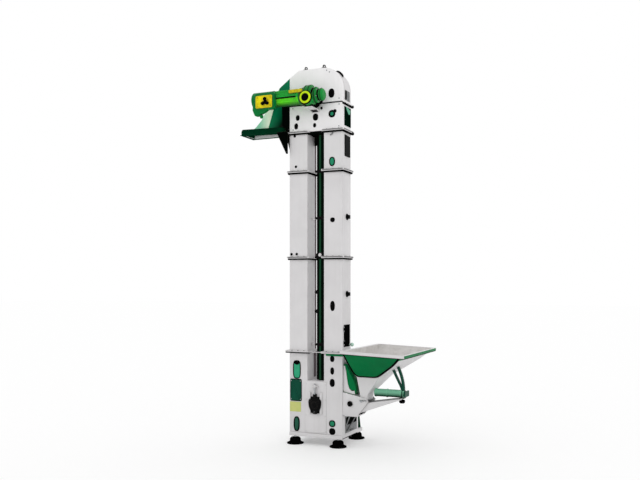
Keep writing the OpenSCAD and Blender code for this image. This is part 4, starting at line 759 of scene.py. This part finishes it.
def take_up_bearing(origin, facing):
    """Cast housing round the tail shaft, built of rings of its shield outline, with a hub dome on its
    face."""
    shield = rounded([(-0.022, -0.096), (0.022, -0.096), (0.048, -0.066), (0.070, -0.020), (0.076, 0.030),
                      (0.070, 0.058), (0.044, 0.074), (0.024, 0.084), (-0.024, 0.084), (-0.044, 0.074),
                      (-0.070, 0.058), (-0.076, 0.030), (-0.070, -0.020), (-0.048, -0.066)], 0.014)
    slide_plate = stacked(slab(0.122, 0.174, 0.012), lip(0.0078, 0.002), origin, facing)
    neck = stacked(slab(0.100, 0.110, 0.02), lip(0.018, 0.001, 0.0078), origin, facing)
    housing = stacked(shield, np.vstack([[[0.004, 1, 0.0155]], lip(0.0245, 0.006, 0.0165),
                                         [[0.010, 0.97, 0.0262], [0.012, 0.80, 0.0285]]]), origin, facing)
    hub = turned([(0.040, 0.020), (0.040, 0.030), (0.037, 0.033), (0.033, 0.034), (0.031, 0.032),
                  (0.029, 0.031), (0.027, 0.033), (0.022, 0.0365), (0.012, 0.0378), (0.0005, 0.038)],
                 origin, facing)
    ears = [stacked(ellipse(0.026, 0.026), np.vstack([lip(0.032, 0.003, 0.0078),
                                                      dome(0.004, 0.032, 0.003)]),
                    put((x, 0.034, 0), origin, facing), facing) for x in (-0.036, 0.036)]
    lobe = stacked(ellipse(0.036, 0.036), np.vstack([lip(0.030, 0.006, 0.0078), dome(0.006, 0.030, 0.004)]),
                   put((0, -0.070, 0), origin, facing), facing)
    return [slide_plate, neck, housing, hub, *ears, lobe]


def knob_over(origin, facing):
    """Round cap of the spring seat above the housing, with a ring groove."""
    return turned([(0.0205, 0.008), (0.0205, 0.026), (0.0185, 0.029), (0.0165, 0.029), (0.0155, 0.027),
                   (0.0145, 0.029), (0.010, 0.0325), (0.0005, 0.034)], put((0, 0.103, 0), origin, facing),
                  facing, 32)


bearing_seats = [((0, FRONT_Y - 0.0043, TAIL_Z), FRONT), ((0, BOOT_BACK_Y + 0.0043, TAIL_Z), BACK)]
housings = [part for spot in bearing_seats for part in take_up_bearing(*spot) + [knob_over(*spot)]]
piece("takeup_housings", housings, BLACK_IRON, "takeup", "takeup_bearings")
nipple = turned([(0.004, 0), (0.004, 0.004), (0.0026, 0.005), (0.0022, 0.008), (0.003, 0.009),
                 (0.0026, 0.011), (0.0003, 0.0115)], (0.0, FRONT_Y - 0.035, TAIL_Z - 0.070), FRONT, 12)
piece("takeup_nipples", [nipple], ZINC, "takeup")


# Feet: a rubber disc with a ribbed cup, on a threaded stud

cup = turned([(0.040, 0.012), (0.064, 0.012), (0.064, 0.015), (0.0615, 0.019), (0.0605, 0.028),
              (0.0615, 0.030), (0.0595, 0.034), (0.0590, 0.044), (0.0600, 0.046), (0.0575, 0.052),
              (0.0530, 0.060), (0.0460, 0.0665), (0.0380, 0.0685), (0.0240, 0.0690), (0.0220, 0.0660),
              (0.0220, 0.0300)], ORIGIN, TOP, 64)
for node in ("foot_front_left", "foot_front_right", "foot_rear_left", "foot_rear_right"):
    low, high = [np.array(corner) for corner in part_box(node)]
    middle = ((low + high) / 2) * (1, 1, 0)
    softened(node, BLACK_RUBBER, width_mm=2.0)
    piece(node + "_cup", [repeated(cup, [middle])], BLACK_RUBBER)
softened("foot_studs", ZINC, width_mm=1.0)


# Discharge chute: green enamel with painted shade towards the tower, a painted reflection on its folded
# corner facet, a dark bead round its mouth, painted shade under its flange, a black gusset, a black plate
# of painted shadow on its neck, and a white lining

chute = softened("discharge_chute", CHUTE_ENAMEL_SHADED)
# The folded corner facet takes the painted reflection
repainted(chute, CHUTE_FACET_REFLECTION, lambda middles, normals: (normals[:, 1] < -0.3) & (normals[:, 1] > -0.97)
          & (middles[:, 1] < -0.1))
# Painted shade: the underside, left end and front of the mouth's flange turn dark green
repainted(chute, DARK_ENAMEL, lambda middles, normals: (middles[:, 2] < 3.372)
          & ((normals[:, 2] < -0.5) | (middles[:, 0] < -0.872) | (middles[:, 1] < FRONT_Y - 0.002)))
bead = rounded([(-0.390, LEG_BACK_Y + 0.013, 3.370), (-0.390, FRONT_Y - 0.013, 3.370),
                (-0.8825, FRONT_Y - 0.013, 3.383), (-0.8825, LEG_BACK_Y + 0.013, 3.383)], 0.018, 6,
               closed=False)
piece("chute_band", [swept(bead, ellipse(0.043, 0.074, 2.5, 28))], DARK_ENAMEL)
gusset = rounded([(-0.446, 3.350), (-0.312, 3.350), (-0.312, 3.112), (-0.330, 3.112)], 0.006)
plate("chute_gusset_plate", gusset, 0.005, 0.0015, (0, FRONT_Y - 0.0352, 0), FRONT, BLACK_ENAMEL)
left, right, front, rear = -0.8655, -0.4045, FRONT_Y + 0.0045, LEG_BACK_Y - 0.0045
lining = rounded([(left, front, 3.384), (right, front, 3.384), (right, rear, 3.384), (left, rear, 3.384)],
                 0.004, 5)
piece("chute_lining", [swept(lining, slab(0.0016, 0.060, 0.0006, 2), closed=True)], WHITE_COAT)
# Black plate on the front of the chute's neck: painted shadow under the drive
neck = rounded([(-0.396, 3.420), (-0.314, 3.344), (-0.314, 3.640), (-0.402, 3.640)], 0.006)
plate("chute_neck_painted_shadow", neck, 0.0024, 0.001, (0, FRONT_Y, 0), FRONT, BLACK_ENAMEL)


# Gear case: bulges along the motor's axis, a boss with a bright ring and a black cap towards the front

def about_drive(radius, angles, x):
    """Points round the motor's axis: (x, y + r cos a, z + r sin a)."""
    y, z = DRIVE_Y + radius * np.cos(angles), DRIVE_Z + radius * np.sin(angles)
    return np.stack(np.broadcast_arrays(x, y, z), 1)


def bulge(start, end, radius, corner, around=72):
    """Barrel along the motor's axis with a slight crown. Each shoulder is a quarter circle: its radius is
    r - c (1 - sin s) at start + c (1 - cos s)."""
    s = np.linspace(0, np.pi / 2, 6)
    left = np.stack([radius - corner * (1 - np.sin(s)), start + corner * (1 - np.cos(s))], 1)
    right = np.stack([radius - corner * (1 - np.cos(s)), end - corner * (1 - np.sin(s))], 1)
    crown = [[radius + 0.002, start + 0.35 * (end - start)], [radius + 0.002, start + 0.65 * (end - start)]]
    profile = np.vstack([[[0.0005, start]], left, crown, right, [[0.0005, end]]])
    return turned(profile, DRIVE_AXIS, RIGHT, around)


case = [bulge(-0.050, 0.047, 0.106, 0.026), bulge(0.060, 0.103, 0.080, 0.018),
        bulge(0.113, 0.167, 0.063, 0.024), bulge(-0.085, -0.060, 0.078, 0.004),
        bulge(-0.100, -0.084, 0.086, 0.003)]
grooves = [bulge(-0.024, -0.017, 0.1088, 0.002), bulge(0.020, 0.026, 0.1088, 0.002),
           bulge(0.079, 0.085, 0.0828, 0.002), bulge(0.138, 0.143, 0.0658, 0.002),
           bulge(0.044, 0.063, 0.075, 0.003), bulge(0.100, 0.116, 0.056, 0.003),
           bulge(-0.066, -0.044, 0.090, 0.004)]
ribs = [swept(about_drive(0.105, np.linspace(-0.4, 2.2, 24), x), slab(0.010, 0.006, 0.002, 3), up=ALONG_X)
        for x in (-0.028, 0.002, 0.032)]
rim_bolts = about_drive(0.068, np.radians(np.arange(20, 380, 60)), 0.1015)
boss = turned([(0.072, 0.0), (0.072, 0.096), (0.070, 0.102), (0.062, 0.108), (0.050, 0.110),
               (0.0005, 0.110)], SHAFT_AXIS, FRONT)
stand = stacked(slab(0.086, 0.078, 0.008), lip(0.034, 0.004), (0, DRIVE_Y, 3.561), TOP)
drain = turned([(0.0005, 0), (0.026, 0), (0.026, 0.012), (0.021, 0.016), (0.021, 0.034), (0.0005, 0.036)],
               (-0.008, DRIVE_Y - 0.080, 3.604), UNDER, 32)
piece("gear_housing", case + ribs + [boss], GEAR_ENAMEL, covers="gear_case")
piece("gear_stand", [stand, drain], BLACK_ENAMEL)
piece("gear_grooves", grooves, BLACK_ENAMEL)
piece("gear_bolts", [repeated(faced(hexagon_head(0.010, 0.006), RIGHT), rim_bolts)], ZINC)
ring = [(0.041, 0.104), (0.041, 0.118), (0.044, 0.122), (0.050, 0.1235), (0.057, 0.122), (0.062, 0.117),
        (0.0635, 0.110), (0.063, 0.103)]
collar = [(0.064, 0.100), (0.064, 0.112), (0.067, 0.114), (0.071, 0.110), (0.073, 0.100)]
cap = [(0.039, 0.108), (0.039, 0.116), (0.037, 0.1185), (0.033, 0.119), (0.030, 0.121), (0.026, 0.1242),
       (0.014, 0.1256), (0.0005, 0.126)]
piece("shaft_ring", [turned(ring, SHAFT_AXIS, FRONT, 64)], LEMON_PLASTIC)
piece("shaft_collar", [turned(collar, SHAFT_AXIS, FRONT, 64)], BLACK_ENAMEL)
piece("shaft_cap", [turned(cap, SHAFT_AXIS, FRONT)], BLACK_PLASTIC)


# Motor: a finned body, green above and lime below with painted shade along its underside, the two meeting
# at a dark rail, a cowl with a guard, and a yellow strip

FINS = 28
a = np.linspace(0, 2 * np.pi, FINS * 10, endpoint=False)
wave = np.clip(1.6 * np.cos(FINS * a) - 0.35, 0, 1)
stations = np.array([(-0.396, 0.0), (-0.394, 0.5), (-0.388, 1.0), (-0.130, 1.0), (-0.124, 0.5),
                     (-0.122, 0.0)])
radius = 0.0755 + 0.009 * stations[:, 1:] * wave
body = np.stack([radius * np.cos(a), radius * np.sin(a), stations[:, :1] + 0 * a], -1)
finned = skin(put(body, DRIVE_AXIS, RIGHT))
bells = [turned([(0.0005, -0.124), (0.078, -0.124), (0.081, -0.121), (0.083, -0.114), (0.0855, -0.112),
                 (0.0860, -0.102), (0.084, -0.100), (0.0005, -0.100)], DRIVE_AXIS, RIGHT, 64),
         turned([(0.0005, -0.412), (0.080, -0.412), (0.083, -0.409), (0.083, -0.397), (0.080, -0.394),
                 (0.0005, -0.394)], DRIVE_AXIS, RIGHT, 64)]
motor = piece("motor_shell", [finned] + bells, LIME_ENAMEL_SHADED, covers="motor_body")
repainted(motor, DRIVE_ENAMEL, lambda middles, normals: middles[:, 2] > DRIVE_Z - 0.018)
cowl_line = rounded([(0.072, -0.650), (0.0895, -0.650), (0.0895, -0.404), (0.0865, -0.404),
                     (0.0865, -0.640), (0.072, -0.644)], 0.006, 4)
piece("fan_cowl", [turned(cowl_line, DRIVE_AXIS, RIGHT, 72, hollow=True)], BOX_ENAMEL)
guard = [swept(about_drive(r, np.linspace(0, 2 * np.pi, 60, endpoint=False), -0.6455), pipe(0.0022, 8),
               up=ALONG_X, closed=True) for r in (0.018, 0.030, 0.042, 0.054, 0.066)]
spokes = [swept(about_drive(np.array([0.010, 0.040, 0.075]), turn, -0.644), pipe(0.0024, 8), up=ALONG_X)
          for turn in np.radians(np.arange(0, 360, 45))]
hub = turned([(0.0005, 0), (0.014, 0), (0.014, 0.003), (0.010, 0.005), (0.0005, 0.005)],
             (-0.642, DRIVE_Y, DRIVE_Z), LEFT, 24)
piece("fan_guard", guard + spokes + [hub], BLACK_IRON)
rail = np.array([(x, DRIVE_Y - 0.0845, DRIVE_Z - 0.014) for x in (-0.392, -0.30, -0.20, -0.126)])
piece("motor_rail", [swept(rail, slab(0.006, 0.013, 0.002, 3))], BLACK_ENAMEL)
strip_levels = np.vstack([lip(0.022, 0.006), [[0.008, 1, 0.0222]]])
strip = stacked(slab(0.156, 0.034, 0.010), strip_levels, (-0.122, DRIVE_Y - 0.074, DRIVE_Z + 0.044), FRONT)
piece("motor_strip", [strip], OCHRE_PLASTIC)


# Switch box: a rounded housing on the cowl, a yellow lid with a well, a three-lobed knob, and a cable entry

throat = rounded([(-0.612, 3.640), (-0.622, 3.560), (-0.592, 3.495), (-0.556, 3.493), (-0.474, 3.530),
                  (-0.404, 3.574), (-0.390, 3.640)], 0.014)
box_levels = np.vstack([lip(0.050, 0.014), [[0.018, 1, 0.050], [0.0195, 1, 0.0535], [0.022, 1, 0.0555]]])
entry = [(0.020, 0.0), (0.020, 0.012), (0.017, 0.016), (0.015, 0.030), (0.010, 0.032), (0.0005, 0.032)]
piece("switch_housing", [
    stacked(slab(0.244, 0.180, 0.034, 8), box_levels, (-0.478, -0.500, 3.645), FRONT),
    stacked(throat, lip(0.046, 0.012), (0, -0.502, 0), FRONT),
    turned(entry, (-0.518, -0.528, 3.500), UNDER, 32)], BOX_ENAMEL, covers="switch_box")
lid_levels = np.vstack([lip(0.0078, 0.0026), [[0.009, 1, 0.0078], [0.0105, 1, 0.0062]]])
piece("switch_cover", [stacked(slab(0.194, 0.130, 0.016), lid_levels, (-0.472, -0.5604, 3.634), FRONT)],
      YELLOW_PLASTIC, covers="switch_lid")
# Knob with three lobes: r = 33 + 20 cos 3(t - 90) - 3 cos 6(t - 90), in mm and degrees
t = np.linspace(0, 2 * np.pi, 96, endpoint=False)
lobes = (0.0330 + 0.0200 * np.cos(3 * (t - np.pi / 2)) - 0.003 * np.cos(6 * (t - np.pi / 2)))[:, None]
lobes = lobes * np.stack([np.cos(t), np.sin(t)], 1)
cover_screw = turned([(0.0105, 0), (0.0105, 0.002), (0.008, 0.005), (0.0005, 0.006)], ORIGIN, FRONT, 20)
screw_spots = [(x, -0.5676, z) for x in (-0.553, -0.391) for z in (3.586, 3.682)]
piece("cover_screws", [repeated(cover_screw, screw_spots)], OCHRE_PLASTIC)
handle_mid = (-0.450, -0.568, 3.628)
handle_levels = np.vstack([lip(0.024, 0.003, 0.011), dome(0.0035, 0.024, 0.002, 0.3)])
disc = turned([(0.022, 0.0004), (0.022, 0.010), (0.0200, 0.013), (0.0005, 0.013)], handle_mid, FRONT, 32)
piece("switch_handle", [disc, stacked(lobes, handle_levels, handle_mid, FRONT)], BLACK_PLASTIC,
      "switch_knob", "switch_knob")


# Doors, slide gate and feeder

low, high = [np.array(corner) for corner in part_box("inspection_knob")]
ball_y, ball_z = (low[1] + high[1]) / 2, (low[2] + high[2]) / 2
s = np.linspace(0.25, np.pi - 0.03, 18)
ball_radius, reach = 0.0205, 0.031
ball = np.stack([ball_radius * np.sin(s), reach - ball_radius * np.cos(s)], 1)
stem = [(0.0005, 0), (0.008, 0), (0.008, 0.002), (0.005, 0.004), (0.0042, 0.0105)]
piece("door_ball", [turned(np.vstack([stem, ball]), (low[0], ball_y, ball_z), RIGHT, 36)], MINT_KNOB,
      "inspection_door", "inspection_knob")
softened("inspection_door", BLACK_RUBBER, "inspection_door", 1.2)
softened("slide_gate", ZINC, "slide_gate", 0.6)
softened("cleanout_door", BARE_SHEET, "cleanout_door", 0.8)
plate("cleanout_well", slab(0.296, 0.084, 0.012), 0.0016, 0.0006, (0.3125, -0.044, 0.262), RIGHT,
      BLACK_ENAMEL, "cleanout_door")
bar = rounded([(-0.216, 0.214), (-0.184, 0.214), (-0.080, 0.300), (-0.118, 0.300)], 0.006)
plate("cleanout_strap", bar, 0.0030, 0.0010, (0.3138, 0, 0), RIGHT, BARE_SHEET, "cleanout_door")
tube = turned([(0.0005, 0.632), (0.039, 0.632), (0.0435, 0.635), (0.044, 0.639), (0.044, 0.645),
                (0.041, 0.648), (0.0400, 0.652), (0.0398, 0.756), (0.0415, 0.758), (0.0438, 0.760),
                (0.0438, 0.772), (0.0415, 0.774), (0.0398, 0.776), (0.0398, 0.904), (0.0415, 0.906),
                (0.044, 0.909), (0.044, 0.922), (0.042, 0.925), (0.038, 0.927), (0.0005, 0.927)],
               (0, LEG_MID_Y, TUBE_Z), RIGHT, 64)
end_plate = stacked(slab(0.084, 0.082, 0.012), lip(0.0115, 0.003), (0.9412, LEG_MID_Y, 0.578), RIGHT)
piece("feeder_tube", [tube, end_plate], TUBE_ENAMEL_HIGHLIT, "feeder", "feeder_drive")


# Hood: cover band over the round shoulder, its handle, the louvres below it, lifting rings and small screws

SHOULDER_R = 0.230
SHOULDER_Z = 3.770


def shoulder(angles, out):
    """Points on the round shoulder: (x0 + (r + out) cos a, z0 + (r + out) sin a)."""
    angles = np.radians(angles)
    radius = SHOULDER_R + out
    return np.stack([SIDE_X - SHOULDER_R + radius * np.cos(angles), 0 * angles,
                     SHOULDER_Z + radius * np.sin(angles)], 1)


line = np.vstack([shoulder(np.linspace(88, 0, 30), 0.0012),
                  [(SIDE_X + 0.0012, 0, z) for z in (3.740, 3.690, 3.655)]])
piece("shoulder_band", [swept(line + (0, -0.147, 0), slab(0.0030, 0.176, 0.0012, 3), up=ALONG_Y)],
      WHITE_COAT)
grip = np.vstack([shoulder([58.0], 0.001), shoulder([57.0], 0.009), shoulder(np.linspace(53, 40, 8), 0.014),
                  shoulder([37.0], 0.009), shoulder([36.0], 0.001)]) + (0, -0.180, 0)
piece("shoulder_handle", [swept(rounded(grip, 0.008, 4, closed=False), ellipse(0.020, 0.026, 2.6, 20),
                                up=ALONG_Y)], BLACK_PLASTIC)
louvre = rounded([(0.0, -0.0075), (0.0045, -0.0075), (0.0085, -0.0020), (0.0040, 0.0075), (0.0, 0.0075)],
                 0.0012)
vents = [swept(np.array([(SIDE_X + 0.0025, y, z) for y in (-0.205, -0.150, -0.095)]), louvre * (-1, 1))
         for z in np.linspace(3.668, 3.744, 5)]
plate("louvre_plate", slab(0.128, 0.104, 0.010), 0.0022, 0.0008, (SIDE_X + 0.002, -0.152, 3.706), RIGHT,
      BARE_SHEET)
post = stacked(slab(0.030, 0.094, 0.008), lip(0.010, 0.003), (SIDE_X + 0.002, -0.202, 3.706), RIGHT)
piece("hood_louvres", vents + [post], BLACK_ENAMEL)
eye_low, eye_high = [np.array(corner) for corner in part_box("lifting_eyes")]
eye_y, eye_z = (eye_low[1] + eye_high[1]) / 2, eye_high[2] - 0.016
turn = np.linspace(0, 2 * np.pi, 40, endpoint=False)
eye_ring = np.stack([0.0125 * np.cos(turn), 0 * turn + eye_y - 0.0065, eye_z + 0.0125 * np.sin(turn)], 1)
rings = [swept(eye_ring + (x, 0, 0), pipe(0.0034, 12), up=ALONG_Y, closed=True) for x in (-0.120, 0.092)]
piece("eye_rings", rings, BLACK_IRON)
screw = turned([(0.0070, 0), (0.0070, 0.0016), (0.0056, 0.0036), (0.0022, 0.0042), (0.0018, 0.0026),
                (0.0003, 0.0026)], (0, FRONT_Y, 0), FRONT, 16)
screw_spots = [(0.160, 0, 3.947), (0.128, 0, 3.968), (-0.262, 0, 3.66), (-0.10, 0, 3.598), (0.270, 0, 3.66),
               (0.270, 0, 3.598), (-0.270, 0, 3.598), (0.268, 0, 3.37), (-0.268, 0, 3.37)]
piece("casing_screws", [repeated(screw, screw_spots)], ZINC)
hook = rounded([(0.2000, FRONT_Y - 0.002, 3.328), (0.2000, FRONT_Y - 0.010, 3.318),
                (0.2000, FRONT_Y - 0.010, 3.294), (0.1720, FRONT_Y - 0.010, 3.280)], 0.008, 4, closed=False)
piece("leg_hook", [swept(hook, pipe(0.0055, 12), up=ALONG_X)], BARE_SHEET)
lens_low, lens_high = [box for box in fittings if is_glass(*box) and box[0][2] > HEAD_Z][0]
lug_at = (lens_low + lens_high) / 2 + (0.034, 0, 0.026)
lug = stacked(ellipse(0.036, 0.036, 2.2, 28), np.vstack([lip(0.006, 0.002), dome(0.004, 0.006, 0.003)]),
              (lug_at[0], FRONT_Y, lug_at[2]), FRONT)
piece("lens_lug", [lug], BLACK_PLASTIC)
stud = turned([(0.0140, 0), (0.0140, 0.003), (0.0110, 0.006), (0.0004, 0.0068)], (0, FRONT_Y, 0), FRONT, 24)
stud_spots = [(0.068, 0, 3.574), (-0.247, 0, 3.300), (-0.233, 0, 2.972), (-0.286, 0, 2.034),
              (-0.224, 0, 2.034)]
large_stud = turned([(0.029, 0), (0.029, 0.005), (0.025, 0.0095), (0.012, 0.012), (0.0005, 0.0122)],
                    (0.394, FRONT_Y - 0.004, 0.466), FRONT, 32)
piece("casing_studs", [repeated(stud, stud_spots), large_stud], BLACK_PLASTIC)
buffer = [(0.010, 0.0), (0.010, 0.006), (0.026, 0.008), (0.031, 0.014), (0.032, 0.024), (0.029, 0.036),
          (0.020, 0.043), (0.0005, 0.045)]
piece("trough_buffer", [turned(buffer, (0.924, LEG_MID_Y, 0.532), UNDER, 36)], BLACK_RUBBER, "feeder")


# Hopper: a folded pan with a turned-down rim, green cladding on its front and right, and the feeder's hoop

RIM_Z, RIM_RISE = 1.010, 0.024
PAN_X0, PAN_X1, PAN_Y0, PAN_Y1 = 0.408, 1.050, -0.530, 0.550
FRONT_WALL = ((1, 0, 0), (0, -0.7111, 0.7031), (0, -0.7031, -0.7111))
RIGHT_WALL = ((0, 1, 0), (0.7071, 0, 0.7071), (0.7071, 0, -0.7071))
# The cladding starts 1.8 mm inside the pan's wall, so that no gap shows behind it
CLAD_ORIGIN = (0, PAN_Y0 - 0.0018, RIM_Z - 0.0018)


def divided(ring, parts=8):
    """Closed ring with every side cut into equal parts: p + k / parts (q - p)."""
    share = np.arange(parts)[None, :, None] / parts
    return (ring[:, None] + share * (np.roll(ring, -1, axis=0) - ring)[:, None]).reshape(-1, ring.shape[1])


def pan_ring(x0, x1, y0, y1, z, out=0.0, tilted=False):
    """Rounded rectangle at one height, moved out by a distance; the rim's rings rise towards the tower as
    z + rise (x1 - x) / (x1 - x0)."""
    flat = divided(slab(x1 - x0 + 2 * out, y1 - y0 + 2 * out, 0.010 + max(out, 0.0)))
    flat = flat + ((x0 + x1) / 2, (y0 + y1) / 2)
    rise = RIM_RISE * (PAN_X1 - flat[:, :1]) / (PAN_X1 - PAN_X0) if tilted else 0 * flat[:, :1]
    return np.hstack([flat, z + rise])


pan_walls = [(0.494, 0.574, -0.262, -0.072, 0.512), (0.494, 0.584, -0.262, -0.072, 0.575),
             (0.460, 0.706, -0.262, 0.200, 0.745), (0.434, 0.782, -0.3102, 0.263, 0.7927),
             (0.416, 0.944, -0.4228, 0.410, 0.904)]
top = (PAN_X0, PAN_X1, PAN_Y0, PAN_Y1)
rim = [(-0.004, -0.006), (-0.0036, -0.0025), (-0.0015, -0.0006), (0.0, 0.0), (0.0235, 0.0),
       (0.0252, -0.0007), (0.0260, -0.0025), (0.0260, -0.0265), (0.0250, -0.0280), (0.0230, -0.0280),
       (0.0220, -0.0265), (0.0220, -0.0055), (0.0010, -0.0050), (0.0, -0.0060)]
pan_rings = ([pan_ring(*wall, out=-0.004) for wall in pan_walls]
             + [pan_ring(*top, RIM_Z + drop, out, True) for out, drop in rim]
             + [pan_ring(*wall) for wall in pan_walls[::-1]])
pan = piece("hopper_shell", [skin(np.array(pan_rings), ends=False, loop=True)], WHITE_COAT,
            covers="hopper_pan", sharp=18)
piece("rim_seal", [swept(pan_ring(*top, RIM_Z - 0.0305, 0.0205, True)[::-1], slab(0.006, 0.008, 0.002, 3),
                         closed=True)], BLACK_RUBBER)
inner_faces = len(pan_walls) * len(pan_rings[0])
repainted(pan, WORN_COAT, lambda middles, normals: np.arange(len(middles)) < inner_faces)
repainted(pan, GREEN_ENAMEL, lambda middles, normals: (normals[:, 0] > 0.8) & (middles[:, 0] > 1.068))
# Black outline a little larger than the green field: painted shadow round the cladding's edge
shadow_rim = rounded([(1.043, -0.006), (0.930, -0.152), (0.766, -0.304), (0.694, -0.366), (0.472, -0.366),
                  (0.441, -0.300), (0.424, -0.150), (0.414, 0.012)],
                 (0.01, 0.08, 0.08, 0.04, 0.03, 0.05, 0.08, 0.01), 8)
field = rounded([(1.008, -0.014), (0.907, -0.143), (0.750, -0.287), (0.686, -0.343), (0.484, -0.343),
                 (0.461, -0.289), (0.444, -0.150), (0.434, -0.006)],
                (0.01, 0.07, 0.07, 0.04, 0.03, 0.05, 0.07, 0.01), 8)
piece("cladding_painted_shadow", [stacked(shadow_rim, lip(0.0048, 0.0016, 0.0002), CLAD_ORIGIN, FRONT_WALL)],
      BLACK_ENAMEL)
piece("hopper_cladding", [
    stacked(field, lip(0.0060, 0.0016, 0.0002), CLAD_ORIGIN, FRONT_WALL),
    stacked(slab(1.070, 0.064, 0.008), lip(0.0060, 0.0018, 0.0002),
            (PAN_X1 - 0.0266, 0.010, RIM_Z - 0.0302), RIGHT_WALL),
    stacked(slab(0.286, 0.030, 0.004), lip(0.0118, 0.0020), (0.266, FRONT_Y, 0.9705), FRONT),
    stacked(slab(0.101, 0.048, 0.004), lip(0.0050, 0.0015), (0.3585, 0.125, 0.962), FRONT)],
    GREEN_ENAMEL, covers="hopper_apron")
hoops = []
for y in (-0.159, -0.175):
    outer = rounded([(0.884, y, 0.860), (0.915, y, 0.782), (0.936, y, 0.700), (0.942, y, 0.640),
                     (0.942, y, 0.566)], 0.05, 8, closed=False)
    inner = rounded([(0.834, y, 0.826), (0.858, y, 0.772), (0.912, y, 0.668), (0.938, y, 0.606)], 0.04, 8,
                    closed=False)
    hoops += [swept(outer, slab(0.024, 0.024, 0.006, 3), up=ALONG_Y),
              swept(inner, slab(0.021, 0.022, 0.006, 3), up=ALONG_Y)]
hoop_plate = stacked(slab(0.136, 0.060, 0.010), lip(0.011, 0.003), (0.968, LEG_MID_Y, 0.588), RIGHT)
piece("feeder_hoop", hoops + [hoop_plate], HATCH_ENAMEL, covers="hopper_hanger")


# Floor, light and camera

def light_path(tree, *kinds):
    """1 where a ray is of any of the kinds, else 0: the largest of their marks."""
    path = add(tree, "ShaderNodeLightPath")
    largest = path.outputs[kinds[0]]
    for kind in kinds[1:]:
        largest = add(tree, "ShaderNodeMath", links={0: largest, 1: path.outputs[kind]},
                      operation="MAXIMUM").outputs["Value"]
    return largest


def make_stage():
    """White floor that keeps the shadow, a white world for the eye and a soft grey one for the light."""
    floor_mesh = bpy.data.meshes.new("floor")
    reach = 60.0
    floor_mesh.from_pydata([(-reach, -reach, 0), (reach, -reach, 0), (reach, reach, 0), (-reach, reach, 0)],
                           [], [(0, 1, 2, 3)])
    floor = bpy.data.objects.new("floor", floor_mesh)
    bpy.context.scene.collection.objects.link(floor)
    material = bpy.data.materials.new("studio_floor_white")
    material.use_nodes = True
    tree = material.node_tree
    tree.nodes.clear()
    seen = light_path(tree, "Is Camera Ray", "Is Glossy Ray")
    lift = add(tree, "ShaderNodeMath", {1: FLOOR_LIFT}, {0: seen}, operation="MULTIPLY")
    matt = add(tree, "ShaderNodeBsdfDiffuse", {"Color": (FLOOR_SHARE, FLOOR_SHARE, FLOOR_SHARE, 1)})
    glow = add(tree, "ShaderNodeEmission", links={"Strength": lift.outputs["Value"]})
    both = add(tree, "ShaderNodeAddShader", links={0: matt.outputs["BSDF"], 1: glow.outputs["Emission"]})
    add(tree, "ShaderNodeOutputMaterial", links={"Surface": both.outputs["Shader"]})
    floor_mesh.materials.append(material)

    world = bpy.data.worlds.new("studio_world")
    bpy.context.scene.world = world
    world.use_nodes = True
    tree = world.node_tree
    tree.nodes.clear()
    seen = light_path(tree, "Is Camera Ray", "Is Glossy Ray", "Is Transmission Ray")
    soft = add(tree, "ShaderNodeBackground", {"Color": (1, 1, 1, 1), "Strength": SKY_LEVEL})
    white = add(tree, "ShaderNodeBackground", {"Color": (1, 1, 1, 1), "Strength": 1.0})
    mixed = add(tree, "ShaderNodeMixShader", links={0: seen, 1: soft.outputs["Background"],
                                                    2: white.outputs["Background"]})
    add(tree, "ShaderNodeOutputWorld", links={"Surface": mixed.outputs["Shader"]})


def add_lamp(name, place, target, size, power):
    """Soft square lamp at a place, turned to shine at a target."""
    data = bpy.data.lights.new(name, "AREA")
    data.shape = "SQUARE"
    data.size = size
    data.energy = power
    lamp = bpy.data.objects.new(name, data)
    bpy.context.scene.collection.objects.link(lamp)
    lamp.location = place
    way = np.array(target, float) - np.array(place, float)
    turn = math.atan2(way[0], -way[1])
    tilt = math.atan2(math.hypot(way[0], way[1]), -way[2])
    lamp.rotation_euler = (tilt, 0.0, turn)


FLOOR_SHARE = 0.815
FLOOR_LIFT = 0.22
SKY_LEVEL = 0.95
make_stage()
add_lamp("key_lamp", (-5.5, -7.5, 7.5), (0.0, 0.0, 1.8), 4.0, 985.0)
add_lamp("fill_lamp", (7.5, -5.5, 4.5), (0.2, 0.0, 1.8), 5.0, 465.0)

# Camera fitted to the photograph: level, with its horizon 1.704 m up
camera_data = bpy.data.cameras.new("camera")
camera_data.sensor_width = 36.0
camera_data.lens = 43.946
camera_data.shift_y = 0.07006
camera = bpy.data.objects.new("camera", camera_data)
bpy.context.scene.collection.objects.link(camera)
camera.location = (3.478, -7.810, 1.704)
camera.rotation_euler = (math.pi / 2, 0.0, math.radians(24.475))
bpy.context.scene.camera = camera
bpy.context.scene.view_settings.view_transform = "Standard"
